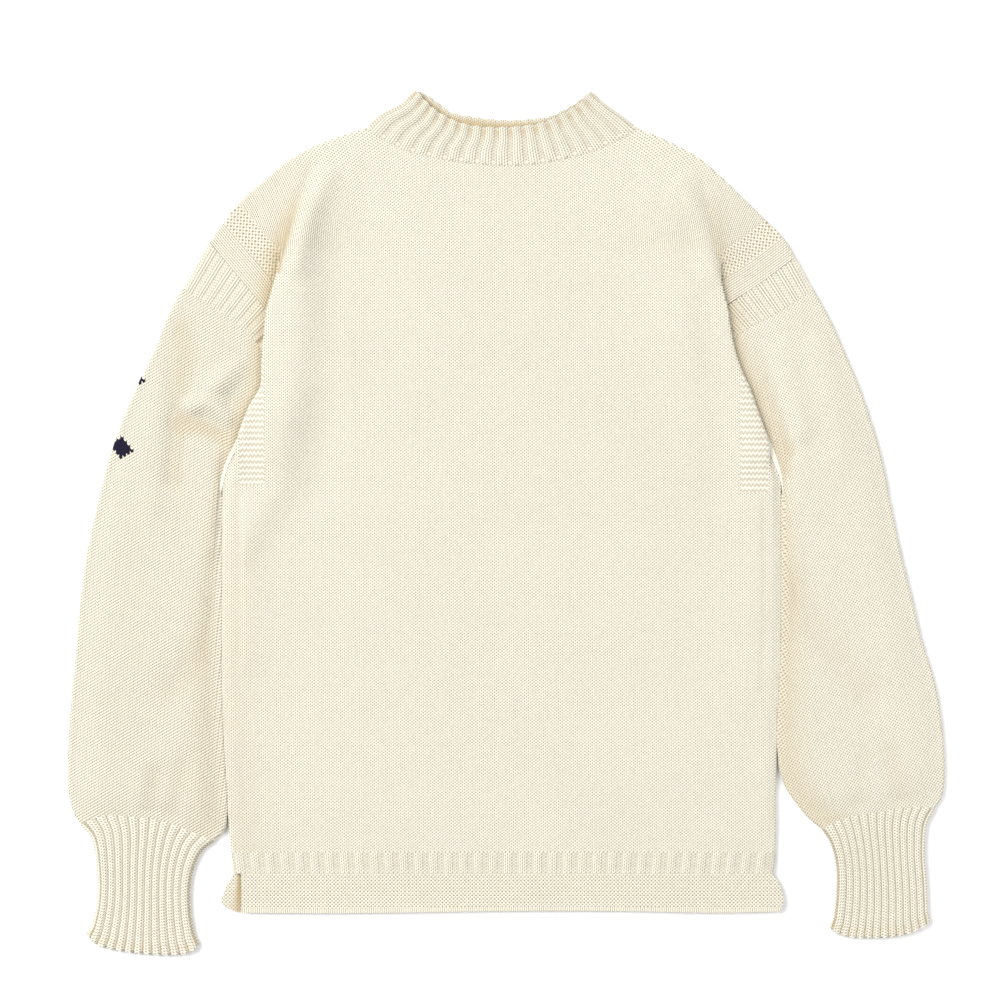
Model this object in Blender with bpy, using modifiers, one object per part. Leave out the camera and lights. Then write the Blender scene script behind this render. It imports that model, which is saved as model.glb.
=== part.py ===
"""A guernsey fisherman sweater, laid flat on its back with its sleeves beside the body.

The frame is in metres, with +Z up. X runs across the body, Y from the hem to the collar, and the
origin is under the middle of the garment. Every piece is a wall of knitted cloth. The back half
of each tube lies flat on the surface, and the front half lies on it, joined to it by a rolled
edge. At each armhole the front is folded over itself in a Z, so that it covers the armhole seam.
Sizes in the tables below are millimetres, and "left" is the side with the lower X.
"""

import bpy
import numpy as np

MM = 0.001

# Driving dimensions, in millimetres.
WALL = 2.2  # thickness of the knitted cloth
LAYER = 3.2  # from the middle of one layer of cloth to the middle of the layer on it
SEAM_GAP = 0.3  # between two pieces that are joined
SEAM_HALF = 0.2  # how far the cloth stops short of a curved seam on each side
RIGHT_DROP = 15  # how much lower the right armhole's rows start than the left one's

HALF_WALL = WALL / 2
BACK = HALF_WALL  # height of the middle of the back layer
FRONT = BACK + LAYER  # height of the middle of the front layer
ROLL = LAYER / 2  # radius of a rolled edge, at the middle of the cloth
MID = BACK + ROLL  # height at which front and back meet
FOLD_RISE = 2 * LAYER  # the top sheet of a Z fold lies this far above the layer under it

COLLAR_RIBS = 18  # on the front half
CUFF_RIBS = 11  # on the front half
HEM_RIBS = 36
HEAD_RIBS = 8  # those that show before the fold covers them
RIBS_END = 0.35  # share of the armhole seam that they take up
RIB_VALLEY = 2.0  # thickness of the cloth between two ribs
HEAD_RIB = 3.0  # thickness of the cloth on a rib, for each ribbed piece
HEM_RIB = 2.9
COLLAR_RIB = 3.3
CUFF_RIB = 3.3

# Outlines as (x, y), seen from above: where the shoulders, armholes and sides run.
SHOULDER_LEFT = (
    (-267, 253), (-253, 272.5), (-238, 290.5), (-218, 308.5), (-196, 326.5), (-178, 337), (-160, 344.5),
    (-145, 350), (-126, 355),
)
SHOULDER_RIGHT = (
    (260, 239), (251, 255), (234, 272.5), (215.5, 290.5), (197, 308.5), (176.5, 326.5), (160, 337),
    (144, 344.5), (133, 350), (118, 355),
)
ARMHOLE_LEFT = (
    (-267, 253), (-240, 221), (-215, 191), (-196, 170), (-188, 156), (-190, 140), (-201, 123),
    (-216, 100), (-229, 82), (-238, 70), (-246, 60), (-250, 52), (-253, 42), (-255.4, 30),
)
ARMHOLE_RIGHT = (
    (260, 239), (229, 216), (199, 196), (186, 184), (181, 171), (185, 154), (199, 134),
    (213, 115), (223, 97), (230, 79), (238, 61), (243, 49), (246, 41), (248.1, 30),
)
SIDE_LEFT = (
    (-255.4, 28), (-256, 10), (-256, -60), (-256, -159), (-254, -204), (-251, -249), (-248.5, -285),
    (-244.8, -315),
)
SIDE_RIGHT = (
    (248, 28), (248, 10), (249, -60), (248, -114), (246, -159), (243.5, -204), (243, -280), (242, -300),
    (240, -315),
)

# The Z fold at each armhole: height, x of the fold's edge, and how far the cloth under it goes in.
FOLD_LEFT = (
    (235, -204.5, 2), (215, -209, 8), (191, -215.5, 18), (160, -219, 32), (142, -220, 30.5),
    (123, -221, 25), (103, -232, 18), (82, -240, 10.6), (70, -244.5, 7), (58, -249, 3), (50, -250.5, 2),
)
FOLD_RIGHT = (
    (235, 192, 3), (214, 194, 9), (196, 199, 18), (176, 202, 24), (160, 205, 26),
    (142, 210, 22), (118, 221, 15), (97, 228, 12), (82, 233.5, 9), (61, 242, 4), (50, 246, 2),
)
FOLD_TOP_LEFT = (-173, 332)  # where the fold fades out, on the shoulder
FOLD_TOP_RIGHT = (175, 321)
FOLD_FULL = 60  # lowest height at which the fold is complete
FOLD_GONE = 44  # height at which it has opened into the rolled side

# Where each ribbed sleeve head ends and the plain sleeve begins.
HEAD_END_LEFT = (
    (-290, 211), (-253, 188), (-223, 162), (-216, 148), (-216, 129), (-225, 106),
    (-236, 86), (-246, 68), (-253.5, 51), (-256.6, 38), (-257.3, 24),
)
HEAD_END_RIGHT = (
    (279, 210), (242, 187), (213, 172), (202, 160), (202, 147), (211, 128),
    (224, 108), (233, 88), (241, 68), (246.4, 51), (249.3, 38), (250, 24),
)

# Outlines of the sleeves and cuffs.
SLEEVE_OUTER_LEFT = (
    (-267, 253), (-283, 228), (-297, 201), (-310, 174), (-320, 147), (-334, 120), (-345, 93), (-355, 66),
    (-369, 12), (-380, -42), (-388, -123), (-393, -177), (-394.5, -231), (-393, -250), (-390, -260),
    (-383, -271),
)
SLEEVE_OUTER_RIGHT = (
    (260, 239), (272, 218.5), (289, 189), (302, 160), (314, 133), (324, 106), (340, 52), (350, -2),
    (366, -69), (379, -123), (388, -150), (392, -177), (395, -220), (393.5, -242), (391, -250), (386, -256.5),
)
SLEEVE_INNER_LEFT = ((-254.8, -204), (-252, -245), (-251.3, -262), (-252, -273), (-256, -281), (-263, -286))
SLEEVE_INNER_RIGHT = (
    (244.5, -204), (246.6, -225), (250, -235), (254, -242), (264.5, -256.5), (271, -264), (285, -276),
)

# Rings of a sleeve: height on its outer edge, height on its inner edge, how much of the sleeve head's
# curve and of the cuff seam's curve the ring keeps, and how far the front stands off the back.
SLEEVE_RINGS_LEFT = (
    (211, 24, 1, 0, 0), (182, 12, 0.3, 0, 0.8), (153, 0, 0.22, 0, 1.6), (122, -15, 0.16, 0, 2.2),
    (88, -33, 0.12, 0, 2.2), (52, -54, 0.08, 0, 2), (12, -81, 0.05, 0, 2), (-28, -112, 0.03, 0, 2.2),
    (-70, -145, 0.02, 0, 2.2), (-112, -175, 0, 0, 2.4), (-152, -202, 0, 0, 2.6), (-190, -226, 0, 0, 3),
    (-222, -247, 0, 0.2, 3.2), (-246, -262, 0, 0.5, 2.8), (-261, -275, 0, 0.85, 1.4),
    (-270.3, -285.6, 0, 1, 0),
)
SLEEVE_RINGS_RIGHT = (
    (210, 24, 1, 0, 0), (182, 12, 0.3, 0, 0.8), (154, 0, 0.22, 0, 1.6), (123, -15, 0.16, 0, 2.2),
    (90, -33, 0.12, 0, 2.2), (56, -54, 0.08, 0, 2), (16, -81, 0.05, 0, 2), (-24, -112, 0.03, 0, 2.2),
    (-66, -144, 0.02, 0, 2.2), (-106, -174, 0, 0, 2.4), (-144, -200, 0, 0, 2.6), (-180, -222, 0, 0, 3),
    (-210, -240, 0, 0.2, 3.2), (-234, -253, 0, 0.5, 2.8), (-248, -264, 0, 0.85, 1.4), (-256, -275.6, 0, 1, 0),
)
CUFF_START_LEFT = (
    (-383, -271), (-370, -266), (-356, -263.5), (-338, -265), (-319, -267), (-305, -270), (-290, -275.5),
    (-276, -281), (-263, -286),
)
CUFF_START_RIGHT = (
    (285, -276), (297, -269), (310, -265), (327, -262), (357, -257.5), (372, -256), (386, -256.5),
)
CUFF_END_LEFT = (
    (-375.5, -372), (-368, -379), (-346, -384.5), (-325, -387), (-303, -388), (-286, -386), (-278, -380),
)
CUFF_END_RIGHT = ((293.4, -366), (307, -371.5), (328, -372.5), (350, -371.5), (366, -367.5), (380, -360))
CUFF_OUTER_LEFT = (
    (-383, -271), (-376, -278), (-371.5, -290), (-369, -308), (-369, -345), (-372.5, -358), (-375.5, -372),
)
CUFF_INNER_LEFT = (
    (-263, -286), (-271, -292.5), (-276.5, -300), (-280.5, -308), (-283, -325), (-283, -360), (-281.5, -371),
    (-278, -380),
)
CUFF_OUTER_RIGHT = (
    (386, -256.5), (381, -265), (378, -275), (377, -292), (378.5, -315), (379.5, -345), (380, -360),
)
CUFF_INNER_RIGHT = (
    (285, -276), (291, -286), (295, -299), (297, -310), (297, -335), (295, -350), (293.4, -366),
)

# The collar: the seam round the neck, its two rolled sides, and its top edges.
NECK_FRONT = (
    (-126, 355), (-110, 344), (-85, 334), (-59, 328), (-29, 324), (3, 322), (32, 324), (56, 329), (83, 337),
    (104, 346), (118, 355),
)
NECK_BACK = ((-126, 355), (-95, 343), (-59, 334), (-5, 329), (49, 334), (89, 343), (118, 355))
COLLAR_SIDE_LEFT = (
    (-126, 355), (-120.5, 361), (-114, 366.5), (-107, 371), (-94, 377), (-87, 382.5), (-82, 389),
)
COLLAR_SIDE_RIGHT = ((118, 355), (110.5, 361), (104.5, 366.5), (97, 372), (88, 378), (82, 383), (77, 388))
COLLAR_TOP_FRONT = (
    (-82, 389), (-67, 374), (-51, 364), (-33, 358), (-3, 356), (32, 360), (49, 367), (67, 378), (77, 388),
)
COLLAR_TOP_BACK = (
    (-82, 389), (-75, 387), (-60, 377), (-50, 370), (-31, 366), (-3, 363), (25, 364), (41, 366.5),
    (52, 371.5), (62, 377), (77, 388),
)

# The hem: height of each line, and the outlines of the two split flaps below the ribbed band.
BAND_TOP = -296
BAND_BOTTOM = -315
FRONT_WELT_LEFT = ((-238.5, -315.3), (-238, -330), (-238, -350.5))
FRONT_WELT_RIGHT = (
    (240, -315.3), (244.8, -321.3), (247, -328.5), (249.3, -336), (249.5, -343), (246, -349.5),
)
FRONT_WELT_END = (
    (-238, -350.5), (-170, -351), (-100, -350.5), (0, -349), (100, -349), (190, -350.5), (246, -349.5),
)
BACK_WELT_LEFT = ((-244, -315.3), (-247, -321.3), (-252.5, -328.5), (-255, -336), (-257, -342), (-244, -350))
BACK_WELT_RIGHT = ((238, -315.3), (241, -326), (244, -340), (241, -348))
BACK_WELT_END = ((-244, -350), (-100, -350.5), (0, -349.5), (120, -349.5), (241, -348))

# Heights of the front's rows below the shoulders, and which of them the back has too.
LEVEL = 235
FRONT_ROWS = (
    LEVEL, 221, 207, 191, 174, 157, 140, 123, 103, 82, 70, 60, 52, 43, 34,
    27.5, 10, -25, -75, -130, -185, -235, -272, BAND_TOP + SEAM_GAP / 2,
)
BACK_ROWS = (LEVEL, 191, 157, 123, 82, 52, 34, 27.5, 10, -75, -185, BAND_TOP + SEAM_GAP / 2)
UNDERARM = 30  # height of the underarm points
BACK_COLUMN = -115  # x of the back's first column below the neck

# How far the top sheet stands above the flat front beside each rolled side, by height.
SIDE_RISE = (
    (-296, 0), (-272, 0.9), (-160, 1.2), (-60, 1.6), (10, 2.4), (34, 3.2), (43, 4.2), (52, 5.4),
    (60, FOLD_RISE),
)
BODY_LIFT = 0.5

# Soft ridges of the front and the sleeves: start, end, half width, and height.
RIDGES = (
    ((-60, 300), (-20, 60), 40, 0.6),
    ((90, 290), (120, 40), 35, 0.6),
    ((-120, -80), (60, -130), 30, 0.5),
    ((-30, -200), (150, -230), 35, 0.5),
    ((-290, 175), (-275, 118), 16, 1.3),
    ((-352, 40), (-360, -120), 22, 0.8),
    ((-275, -60), (-280, -170), 18, 0.7),
    ((-330, -225), (-322, -255), 9, 1.0),
    ((268, 150), (262, 80), 14, 1.2),
    ((330, 40), (352, -110), 22, 0.8),
    ((280, -40), (272, -160), 18, 0.7),
    ((352, -215), (356, -242), 9, 1.0),
)

CLOTH_COLOURS = {
    "plain": (0.84, 0.80, 0.68, 1),
    "rib": (0.80, 0.75, 0.61, 1),
    "welt": (0.82, 0.78, 0.65, 1),
}


# Curves.


def smooth(points, spacing=1.0):
    """Points about this far apart on a smooth curve through the given ones."""
    p = np.array(points, float)
    knots = np.concatenate([[0], np.cumsum(np.sqrt(np.linalg.norm(np.diff(p, axis=0), axis=1)))])
    slopes = np.gradient(p, knots, axis=0)
    parts = []
    for i in range(len(p) - 1):
        span = knots[i + 1] - knots[i]
        steps = max(2, int(np.linalg.norm(p[i + 1] - p[i]) / spacing))
        t = np.linspace(0, 1, steps, endpoint=False)[:, None]
        parts.append(
            (2 * t**3 - 3 * t**2 + 1) * p[i]
            + (t**3 - 2 * t**2 + t) * span * slopes[i]
            + (3 * t**2 - 2 * t**3) * p[i + 1]
            + (t**3 - t**2) * span * slopes[i + 1]
        )
    return np.vstack([*parts, p[-1:]])


def distances(line):
    """How far along the line each of its points is."""
    return np.concatenate([[0], np.cumsum(np.linalg.norm(np.diff(line, axis=0), axis=1))])


def along(line, shares):
    """The line's points at these shares of its length."""
    at = distances(line)
    wanted = np.asarray(shares) * at[-1]
    return np.column_stack([np.interp(wanted, at, column) for column in line.T])


def x_at(line, y):
    """The line's x at a height. The line runs down or up without turning back."""
    order = np.argsort(line[:, 1])
    return np.interp(y, line[order, 1], line[order, 0])


def aside(line, offset):
    """The line moved to its left, seen from above, by an offset that may differ from point to point."""
    run = np.gradient(line, axis=0)
    run /= np.linalg.norm(run, axis=1)[:, None]
    normal = np.column_stack([-run[:, 1], run[:, 0]])
    return line + normal * np.reshape(offset, (-1, 1))


def bow(line, shares):
    """How far the line departs from its chord, at these shares of its length."""
    shares = np.asarray(shares)[:, None]
    return along(line, shares[:, 0]) - (line[0] * (1 - shares) + line[-1] * shares)


def ease(t):
    t = np.clip(t, 0, 1)
    return t * t * (3 - 2 * t)


def table(rows, y, column):
    """A column of a table whose first column is height, read at a height."""
    rows = np.array(sorted(rows), float)
    return np.interp(y, rows[:, 0], rows[:, column])


def at_height(line, height):
    return np.column_stack([line, np.broadcast_to(height, len(line))])


def mirrored(points):
    return tuple((-x, y, *rest) for x, y, *rest in points)


def ridges(x, y):
    """Height of the soft ridges at a place seen from above."""
    height = np.zeros(np.shape(x))
    for (x0, y0), (x1, y1), width, rise in RIDGES:
        run = np.array([x1 - x0, y1 - y0], float)
        share = np.clip(((x - x0) * run[0] + (y - y0) * run[1]) / (run @ run), 0, 1)
        away = np.hypot(x - x0 - share * run[0], y - y0 - share * run[1])
        height += rise * np.exp(-((away / width) ** 2))
    return height


# The two halves of the body, each seen as the left one: the right half is mirrored twice.


def half(sign):
    """The outlines of one half of the body, mirrored to the left if it is the right one."""
    left = sign < 0
    flip = tuple if left else mirrored
    fold = FOLD_LEFT if left else FOLD_RIGHT
    top = FOLD_TOP_LEFT if left else FOLD_TOP_RIGHT
    return {
        "sign": sign,
        "drop": 0 if left else RIGHT_DROP,
        "shoulder": aside(smooth(flip(SHOULDER_LEFT if left else SHOULDER_RIGHT)), -HALF_WALL),
        "armhole": smooth(flip(ARMHOLE_LEFT if left else ARMHOLE_RIGHT)),
        "side": smooth(flip(SIDE_LEFT if left else SIDE_RIGHT)) + (HALF_WALL, 0),
        "fold": tuple((y, x if left else -x, under) for y, x, under in fold),
        "fold_top": top if left else (-top[0], top[1]),
        "head_end": smooth(flip(HEAD_END_LEFT if left else HEAD_END_RIGHT)),
        "outer": aside(smooth(flip(SLEEVE_OUTER_LEFT if left else SLEEVE_OUTER_RIGHT)), HALF_WALL),
        "inner": flip(SLEEVE_INNER_LEFT if left else SLEEVE_INNER_RIGHT),
        "rings": SLEEVE_RINGS_LEFT if left else SLEEVE_RINGS_RIGHT,
        "cuff_start": smooth(CUFF_START_LEFT if left else mirrored(CUFF_START_RIGHT)[::-1]),
        "cuff_end": smooth(CUFF_END_LEFT if left else mirrored(CUFF_END_RIGHT)[::-1]),
        "cuff_outer": smooth(flip(CUFF_OUTER_LEFT if left else CUFF_OUTER_RIGHT)) + (HALF_WALL, 0),
        "cuff_inner": smooth(flip(CUFF_INNER_LEFT if left else CUFF_INNER_RIGHT)) - (HALF_WALL, 0),
    }


def row_heights(body, rows):
    """The heights of these rows on this half of the body."""
    rows = np.array(rows, float)
    return rows - body["drop"] * ease((rows - FOLD_FULL) / (LEVEL - FOLD_FULL))


def armhole_points(body, rows, to_body):
    """Corners of the armhole seam in these rows, moved off it to the body's or the sleeve's side."""
    heights = [y for y in row_heights(body, rows) if y > UNDERARM]
    seam = np.vstack([body["armhole"][:1], [(x_at(body["armhole"], y), y) for y in heights]])
    gap = np.full(len(seam), SEAM_HALF)
    gap[0] = 2 * SEAM_HALF
    return aside(seam, gap if to_body else -gap)


# How far in from a rolled edge each of its points lies, and its height above the level where the
# front and the back meet. The first two stand nearly upright, so the edge of the wall is level.
ROLL_IN = (0, 0.03 * ROLL, 0.34 * ROLL, ROLL)
ROLL_UP = (0.2, 0.5 * ROLL, 0.88 * ROLL, ROLL)
CORNER_UP = (0.6, 0.7 * ROLL, 0.93 * ROLL, ROLL)  # beside a flat edge, where the roll begins
FLAT_IN = (0, 0.5, 1.0, ROLL)
TURN = np.radians((0, 60, 120, 180))


def side_roll(y):
    """How far from the middle height the points of a rolled side lie, at a height up the body."""
    return CORNER_UP if y > UNDERARM - 5 else ROLL_UP


def unrolled(body, y, x0):
    """The front's eleven points beside its edge at a height, with no Z fold, as x and height."""
    rise = table(SIDE_RISE, y, 1)
    if y > UNDERARM:
        near = [(x0 + step, FRONT) for step in FLAT_IN]
    else:
        near = [(x0 + step, MID + up) for step, up in zip(ROLL_IN, side_roll(y))]
    spread = ROLL + 16 * (np.arange(1, 9) / 8) ** 1.5
    far = [(x0 + step, FRONT + rise * ease(step / 9)) for step in spread]
    return np.array(near + far)


def folded(body, y, x0):
    """The same points with the Z fold: under it, round its inner turn, back, and round its edge."""
    edge = table(body["fold"], y, 1) + HALF_WALL + ROLL
    turn = edge + table(body["fold"], y, 2)
    near = [(x0 + step, FRONT) for step in FLAT_IN]
    inner = [(turn + ROLL * np.sin(a), FRONT + ROLL * (1 - np.cos(a))) for a in TURN]
    outer = [(edge - ROLL * np.sin(a), FRONT + LAYER + ROLL * (1 - np.cos(a))) for a in TURN]
    return np.array(near + inner + outer)


def front_half_row(body, y):
    """Sixteen points of the front at a height, from its edge inwards, as x, y and height."""
    if y > UNDERARM:
        x0 = x_at(armhole_points(body, FRONT_ROWS, True), y)
    else:
        x0 = x_at(body["side"], y)
    share = ease((y - FOLD_GONE) / (FOLD_FULL - FOLD_GONE))
    open_row = unrolled(body, y, x0)
    near = open_row
    if share > 0:
        near = share * folded(body, y, x0) + (1 - share) * open_row
    rise = table(SIDE_RISE, y, 1) if y < FOLD_FULL else FOLD_RISE
    under = share * table(body["fold"], y, 2)
    reach = np.array((3, 17, 38, 66))
    top_sheet = near[-1, 0] + under + reach
    lift = BODY_LIFT * ease((y - BAND_TOP) / 30)
    heights = FRONT + lift + (rise - lift) * (1 - ease((reach - 3) / 63))
    return np.vstack([
        np.column_stack([near[:, 0], np.full(len(near), y), near[:, 1]]),
        np.column_stack([top_sheet, np.full(4, y), heights]),
    ])


def shoulder_points(body):
    """Where the front's sixteen columns start on the shoulder, and which way is in from the edge."""
    line = body["shoulder"]
    at = distances(line)
    fold = at[np.argmin(np.hypot(*(line - body["fold_top"]).T))]
    start = [0, 0.5, 1.0, ROLL]
    spread = list(np.linspace(ROLL, fold, 9)[1:])
    end = [fold + (at[-1] - fold) * share for share in (0.25, 0.6, 1)]
    steps = np.array(start + spread + end)
    points = along(line, steps / at[-1])
    run = along(np.gradient(line, axis=0), steps / at[-1])
    inward = np.column_stack([run[:, 1], -run[:, 0]])
    inward[:4] = body["armhole"][8] - body["armhole"][0]
    inward /= np.linalg.norm(inward, axis=1)[:, None]
    return points, inward


def grid_of(rows):
    return np.array([np.asarray(row) for row in rows])


def panel_top(points, inward, neck, over):
    """The first four rows of a panel: rolled at the shoulder, flat at the neck. Over is 1 or -1."""
    rows = []
    for step, fold_in in enumerate(ROLL_IN):
        up = np.full(len(points), ROLL_UP[step])
        up[-1] = CORNER_UP[step]
        shoulder = at_height(points + inward * fold_in, MID + over * up)
        rows.append((shoulder, at_height(neck - (0, FLAT_IN[step]), MID + over * ROLL)))
    return rows


def neck_points(line, count):
    """Points of a panel on the neck seam, between its corners, moved off the seam."""
    at = distances(line)[-1]
    shares = np.concatenate([[2.2 / at], np.linspace(0, 1, count + 2)[1:-1], [1 - 2.2 / at]])
    return along(line, shares) - (0, SEAM_HALF)


def front_grid():
    """The front: rows from the shoulders and neck down to the ribbed band."""
    left, right = half(-1), half(1)
    neck = neck_points(smooth(NECK_FRONT), 6)
    rows = []
    left_rows = panel_top(*shoulder_points(left), neck, 1)
    right_rows = panel_top(*shoulder_points(right), neck, 1)
    for (a, middle), (b, _) in zip(left_rows, right_rows):
        rows.append(np.vstack([a, middle, b[::-1] * (-1, 1, 1)]))
    body_rows = []
    for y, right_y in zip(row_heights(left, FRONT_ROWS), row_heights(right, FRONT_ROWS)):
        a, b = front_half_row(left, y), front_half_row(right, right_y)[::-1] * (-1, 1, 1)
        inner = np.linspace(0, 1, len(neck))[:, None]
        a, first = a[:15], a[15]
        b, last = b[1:], b[0]
        middle = first * (1 - inner) + last * inner
        body_rows.append(np.vstack([a, middle, b]))
    between = []
    for share in (0.18, 0.42, 0.7):
        row = rows[-1] * (1 - share) + body_rows[0] * share
        row[:, 2] = rows[-1][:, 2] + (body_rows[0][:, 2] - rows[-1][:, 2]) * share**1.2
        between.append(row)
    grid = grid_of(rows + between + body_rows)
    top = slice(11, grid.shape[1] - 11)
    inside = ease((grid[4:, top, 1] - BAND_TOP) / 30)
    grid[4:, top, 2] += inside * ridges(grid[4:, top, 0], grid[4:, top, 1])
    return grid


def back_grid():
    """The back: the same outline, flat on the surface, with fewer rows and columns."""
    neck = neck_points(smooth(NECK_BACK), 3)
    columns = [0, 1, 2, 3, 8, 12, 14]
    halves = []
    for sign in (-1, 1):
        body = half(sign)
        points, inward = shoulder_points(body)
        top = panel_top(points[columns], inward[columns], neck, -1)
        seam = armhole_points(body, BACK_ROWS, True)
        rows = []
        for y in row_heights(body, BACK_ROWS):
            x0 = x_at(seam, y) if y > UNDERARM else x_at(body["side"], y)
            steps = FLAT_IN if y > UNDERARM else ROLL_IN
            heights = [BACK] * 4 if y > UNDERARM else [MID - up for up in side_roll(y)]
            near = [(x0 + step, y, z) for step, z in zip(steps, heights)]
            far = [(x0 + (BACK_COLUMN - x0) * share, y, BACK) for share in (0.4, 0.75, 1)]
            rows.append(np.array(near + far))
        halves.append((top, rows))
    (left_top, left_rows), (right_top, right_rows) = halves
    grid = []
    for (a, middle), (b, _) in zip(left_top, right_top):
        grid.append(np.vstack([a, middle, b[::-1] * (-1, 1, 1)]))
    for a, b in zip(left_rows, right_rows):
        b = b[::-1] * (-1, 1, 1)
        inner = np.linspace(0, 1, len(neck) + 2)[1:-1, None]
        grid.append(np.vstack([a, a[-1] * (1 - inner) + b[0] * inner, b]))
    grid.insert(4, grid[3] * 0.5 + grid[4] * 0.5)
    return grid_of(grid)


# Tubes laid flat: a ring is a closed loop, over the front and back under it. Half way round a
# rolled edge a ring is this share of the roll's radius in from the edge, and this share up or down.
ROUND_IN = 1 - np.sqrt(0.5)
ROUND_UP = np.sqrt(0.5)


def rib_shares(count, start, end, profile):
    """Where a row of ribs rises and falls between two shares, with how raised each place is."""
    pitch = (end - start) / count
    shares = [start + pitch * (k + step) for k in range(count) for step, _ in profile]
    raised = [up for _ in range(count) for _, up in profile]
    return shares + [end], raised + [0]


EVEN_RIB = ((0.0, 0), (0.12, 1), (0.5, 1), (0.62, 0))
WIDE_RIB = ((0.0, 0), (0.13, 1), (0.75, 1), (0.88, 0))


def inward(ends, others):
    """At each end of the rings, which way leads from the tube's edge into it."""
    run = np.gradient(ends, axis=0)
    normal = np.column_stack([-run[:, 1], run[:, 0]])
    normal /= np.linalg.norm(normal, axis=1)[:, None]
    side = np.sum(normal * (others - ends), axis=1)
    return normal * np.sign(side)[:, None]


def tube(fronts, backs, heights, radius, inset=0.0, lean=0.0):
    """Rings over pairs of lines that share their ends. The heights are those of the front, a number
    or a function of the place. The inset moves both edges into the tube. The edges roll straight
    inwards, or along the rings by this lean."""
    starts = np.array([line[0] for line in fronts])
    ends = np.array([line[-1] for line in fronts])
    chords = (ends - starts) / np.linalg.norm(ends - starts, axis=1)[:, None]
    lean = np.reshape(np.broadcast_to(lean, len(starts)), (-1, 1))
    start_in = (1 - lean) * inward(starts, ends) + lean * chords
    end_in = (1 - lean) * inward(ends, starts) - lean * chords
    rings = []
    for k, (front, back, height) in enumerate(zip(fronts, backs, heights)):
        start = starts[k] + start_in[k] * inset
        end = ends[k] + end_in[k] * inset
        flat_start, flat_end = start + start_in[k] * radius, end + end_in[k] * radius
        over = np.vstack([flat_start, front[1:-1], flat_end])
        under = np.vstack([flat_start, back[1:-1], flat_end])
        round_start = start + ROUND_IN * radius * start_in[k]
        round_end = end + ROUND_IN * radius * end_in[k]
        high = height(over) if callable(height) else height
        rings.append(np.vstack([
            at_height([start], MID),
            at_height([round_start], MID + ROUND_UP * radius),
            at_height(over, high),
            at_height([round_end], MID + ROUND_UP * radius),
            at_height([end], MID),
            at_height([round_end], MID - ROUND_UP * radius),
            at_height(under[::-1], MID - radius),
            at_height([round_start], MID - ROUND_UP * radius),
        ]))
    return np.array(rings)


def with_ends(line, shares):
    """The line's points at these shares of its length, between its two ends."""
    return np.vstack([line[0], along(line, shares), line[-1]])


def corner_shares(line):
    """The shares at which the line's inner corners lie."""
    return list((distances(line) / distances(line)[-1])[1:-1])


def rib_weights(ring_size, rings, raised, first=3):
    """How raised each point of the rings is. The ribs start at this point of a ring."""
    weights = np.zeros((rings, ring_size))
    weights[:, first : first + len(raised)] = raised
    return weights


def true_side(body, grid):
    """The grid in the true frame: a right half is mirrored back, and its columns reversed."""
    return grid if body["sign"] < 0 else grid[:, ::-1] * (-1, 1, 1)


# Sleeves, in the left half's frame.


def sleeve_inner(body):
    """The middle of the sleeve's inner edge: close beside the body, then away from it to the cuff."""
    heights = np.array((28.5, 20, 12, 0, -30, -60, -100, -140, -170, -190))
    beside = np.column_stack([x_at(body["side"], heights) - WALL - SEAM_GAP, heights])
    away = np.array(body["inner"]) - (HALF_WALL, 0)
    return smooth(np.vstack([beside, away]))


def chord_line(start, end, shares):
    shares = np.asarray(shares)[:, None]
    return np.array(start) * (1 - shares) + np.array(end) * shares


def sleeve_lines(body, shares):
    """Each ring's line over the sleeve and under it, from its outer edge to its inner edge."""
    inner = sleeve_inner(body)
    head_bow = bow(body["head_end"], shares)
    cuff_bow = bow(body["cuff_start"], shares)
    fronts, backs = [], []
    for outer_y, inner_y, head_share, cuff_share, _ in body["rings"]:
        start = (x_at(body["outer"], outer_y), outer_y)
        end = (x_at(inner, inner_y), inner_y)
        line = chord_line(start, end, shares) + head_share * head_bow
        fronts.append(line + cuff_share * cuff_bow)
        backs.append(line)
    return fronts, backs


def sleeve_shares(body):
    """Shares for the points of a sleeve's front and back: those under the Z fold match the seam's."""
    front, back = [corner_shares(armhole_line(body, rows)) for rows in (FRONT_ROWS, BACK_ROWS)]
    return list(np.linspace(0.04, RIBS_END, 5)) + [s for s in front if s > RIBS_END + 0.02], back


def armhole_line(body, rows):
    """The armhole seam on the sleeve's side, down to the underarm, as the body's rows cut it."""
    seam = armhole_points(body, rows, False)
    return np.vstack([seam, seam[-1] - (0.8, 4)])


def sleeve_height(body, lift):
    """How high the front of a ring stands: it stays low beside the edges and under the Z fold."""

    def height(points):
        from_edge = np.minimum(*[np.linalg.norm(points - points[end], axis=1) for end in (0, -1)])
        crown = lift * ease(from_edge / 26)
        true_x = points[:, 0] * (1 if body["sign"] < 0 else -1)
        crown = crown + ridges(true_x, points[:, 1]) * ease(from_edge / 20) * min(1, lift / 2)
        clear = ease((table(body["fold"], points[:, 1], 1) - points[:, 0] - 2) / 14)
        clear = np.where(points[:, 1] < UNDERARM, 1, clear)
        return FRONT + crown * clear

    return height


def sleeve_rings(body):
    """Lines for the plain sleeve's rings, over and under it, with no gap at either seam. Below the
    first ring, their points keep clear of the inner edge's roll."""
    groups = []
    for lines, shares in zip(sleeve_lines(body, np.linspace(0, 1, 241)), sleeve_shares(body)):
        rings = [with_ends(lines[0], shares)]
        for line in lines[1:]:
            last = 1 - 2 * ROLL / (line[-1, 0] - line[0, 0])
            rings.append(with_ends(line, np.array(shares) * last / shares[-1]))
        groups.append(rings)
    return groups


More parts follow.
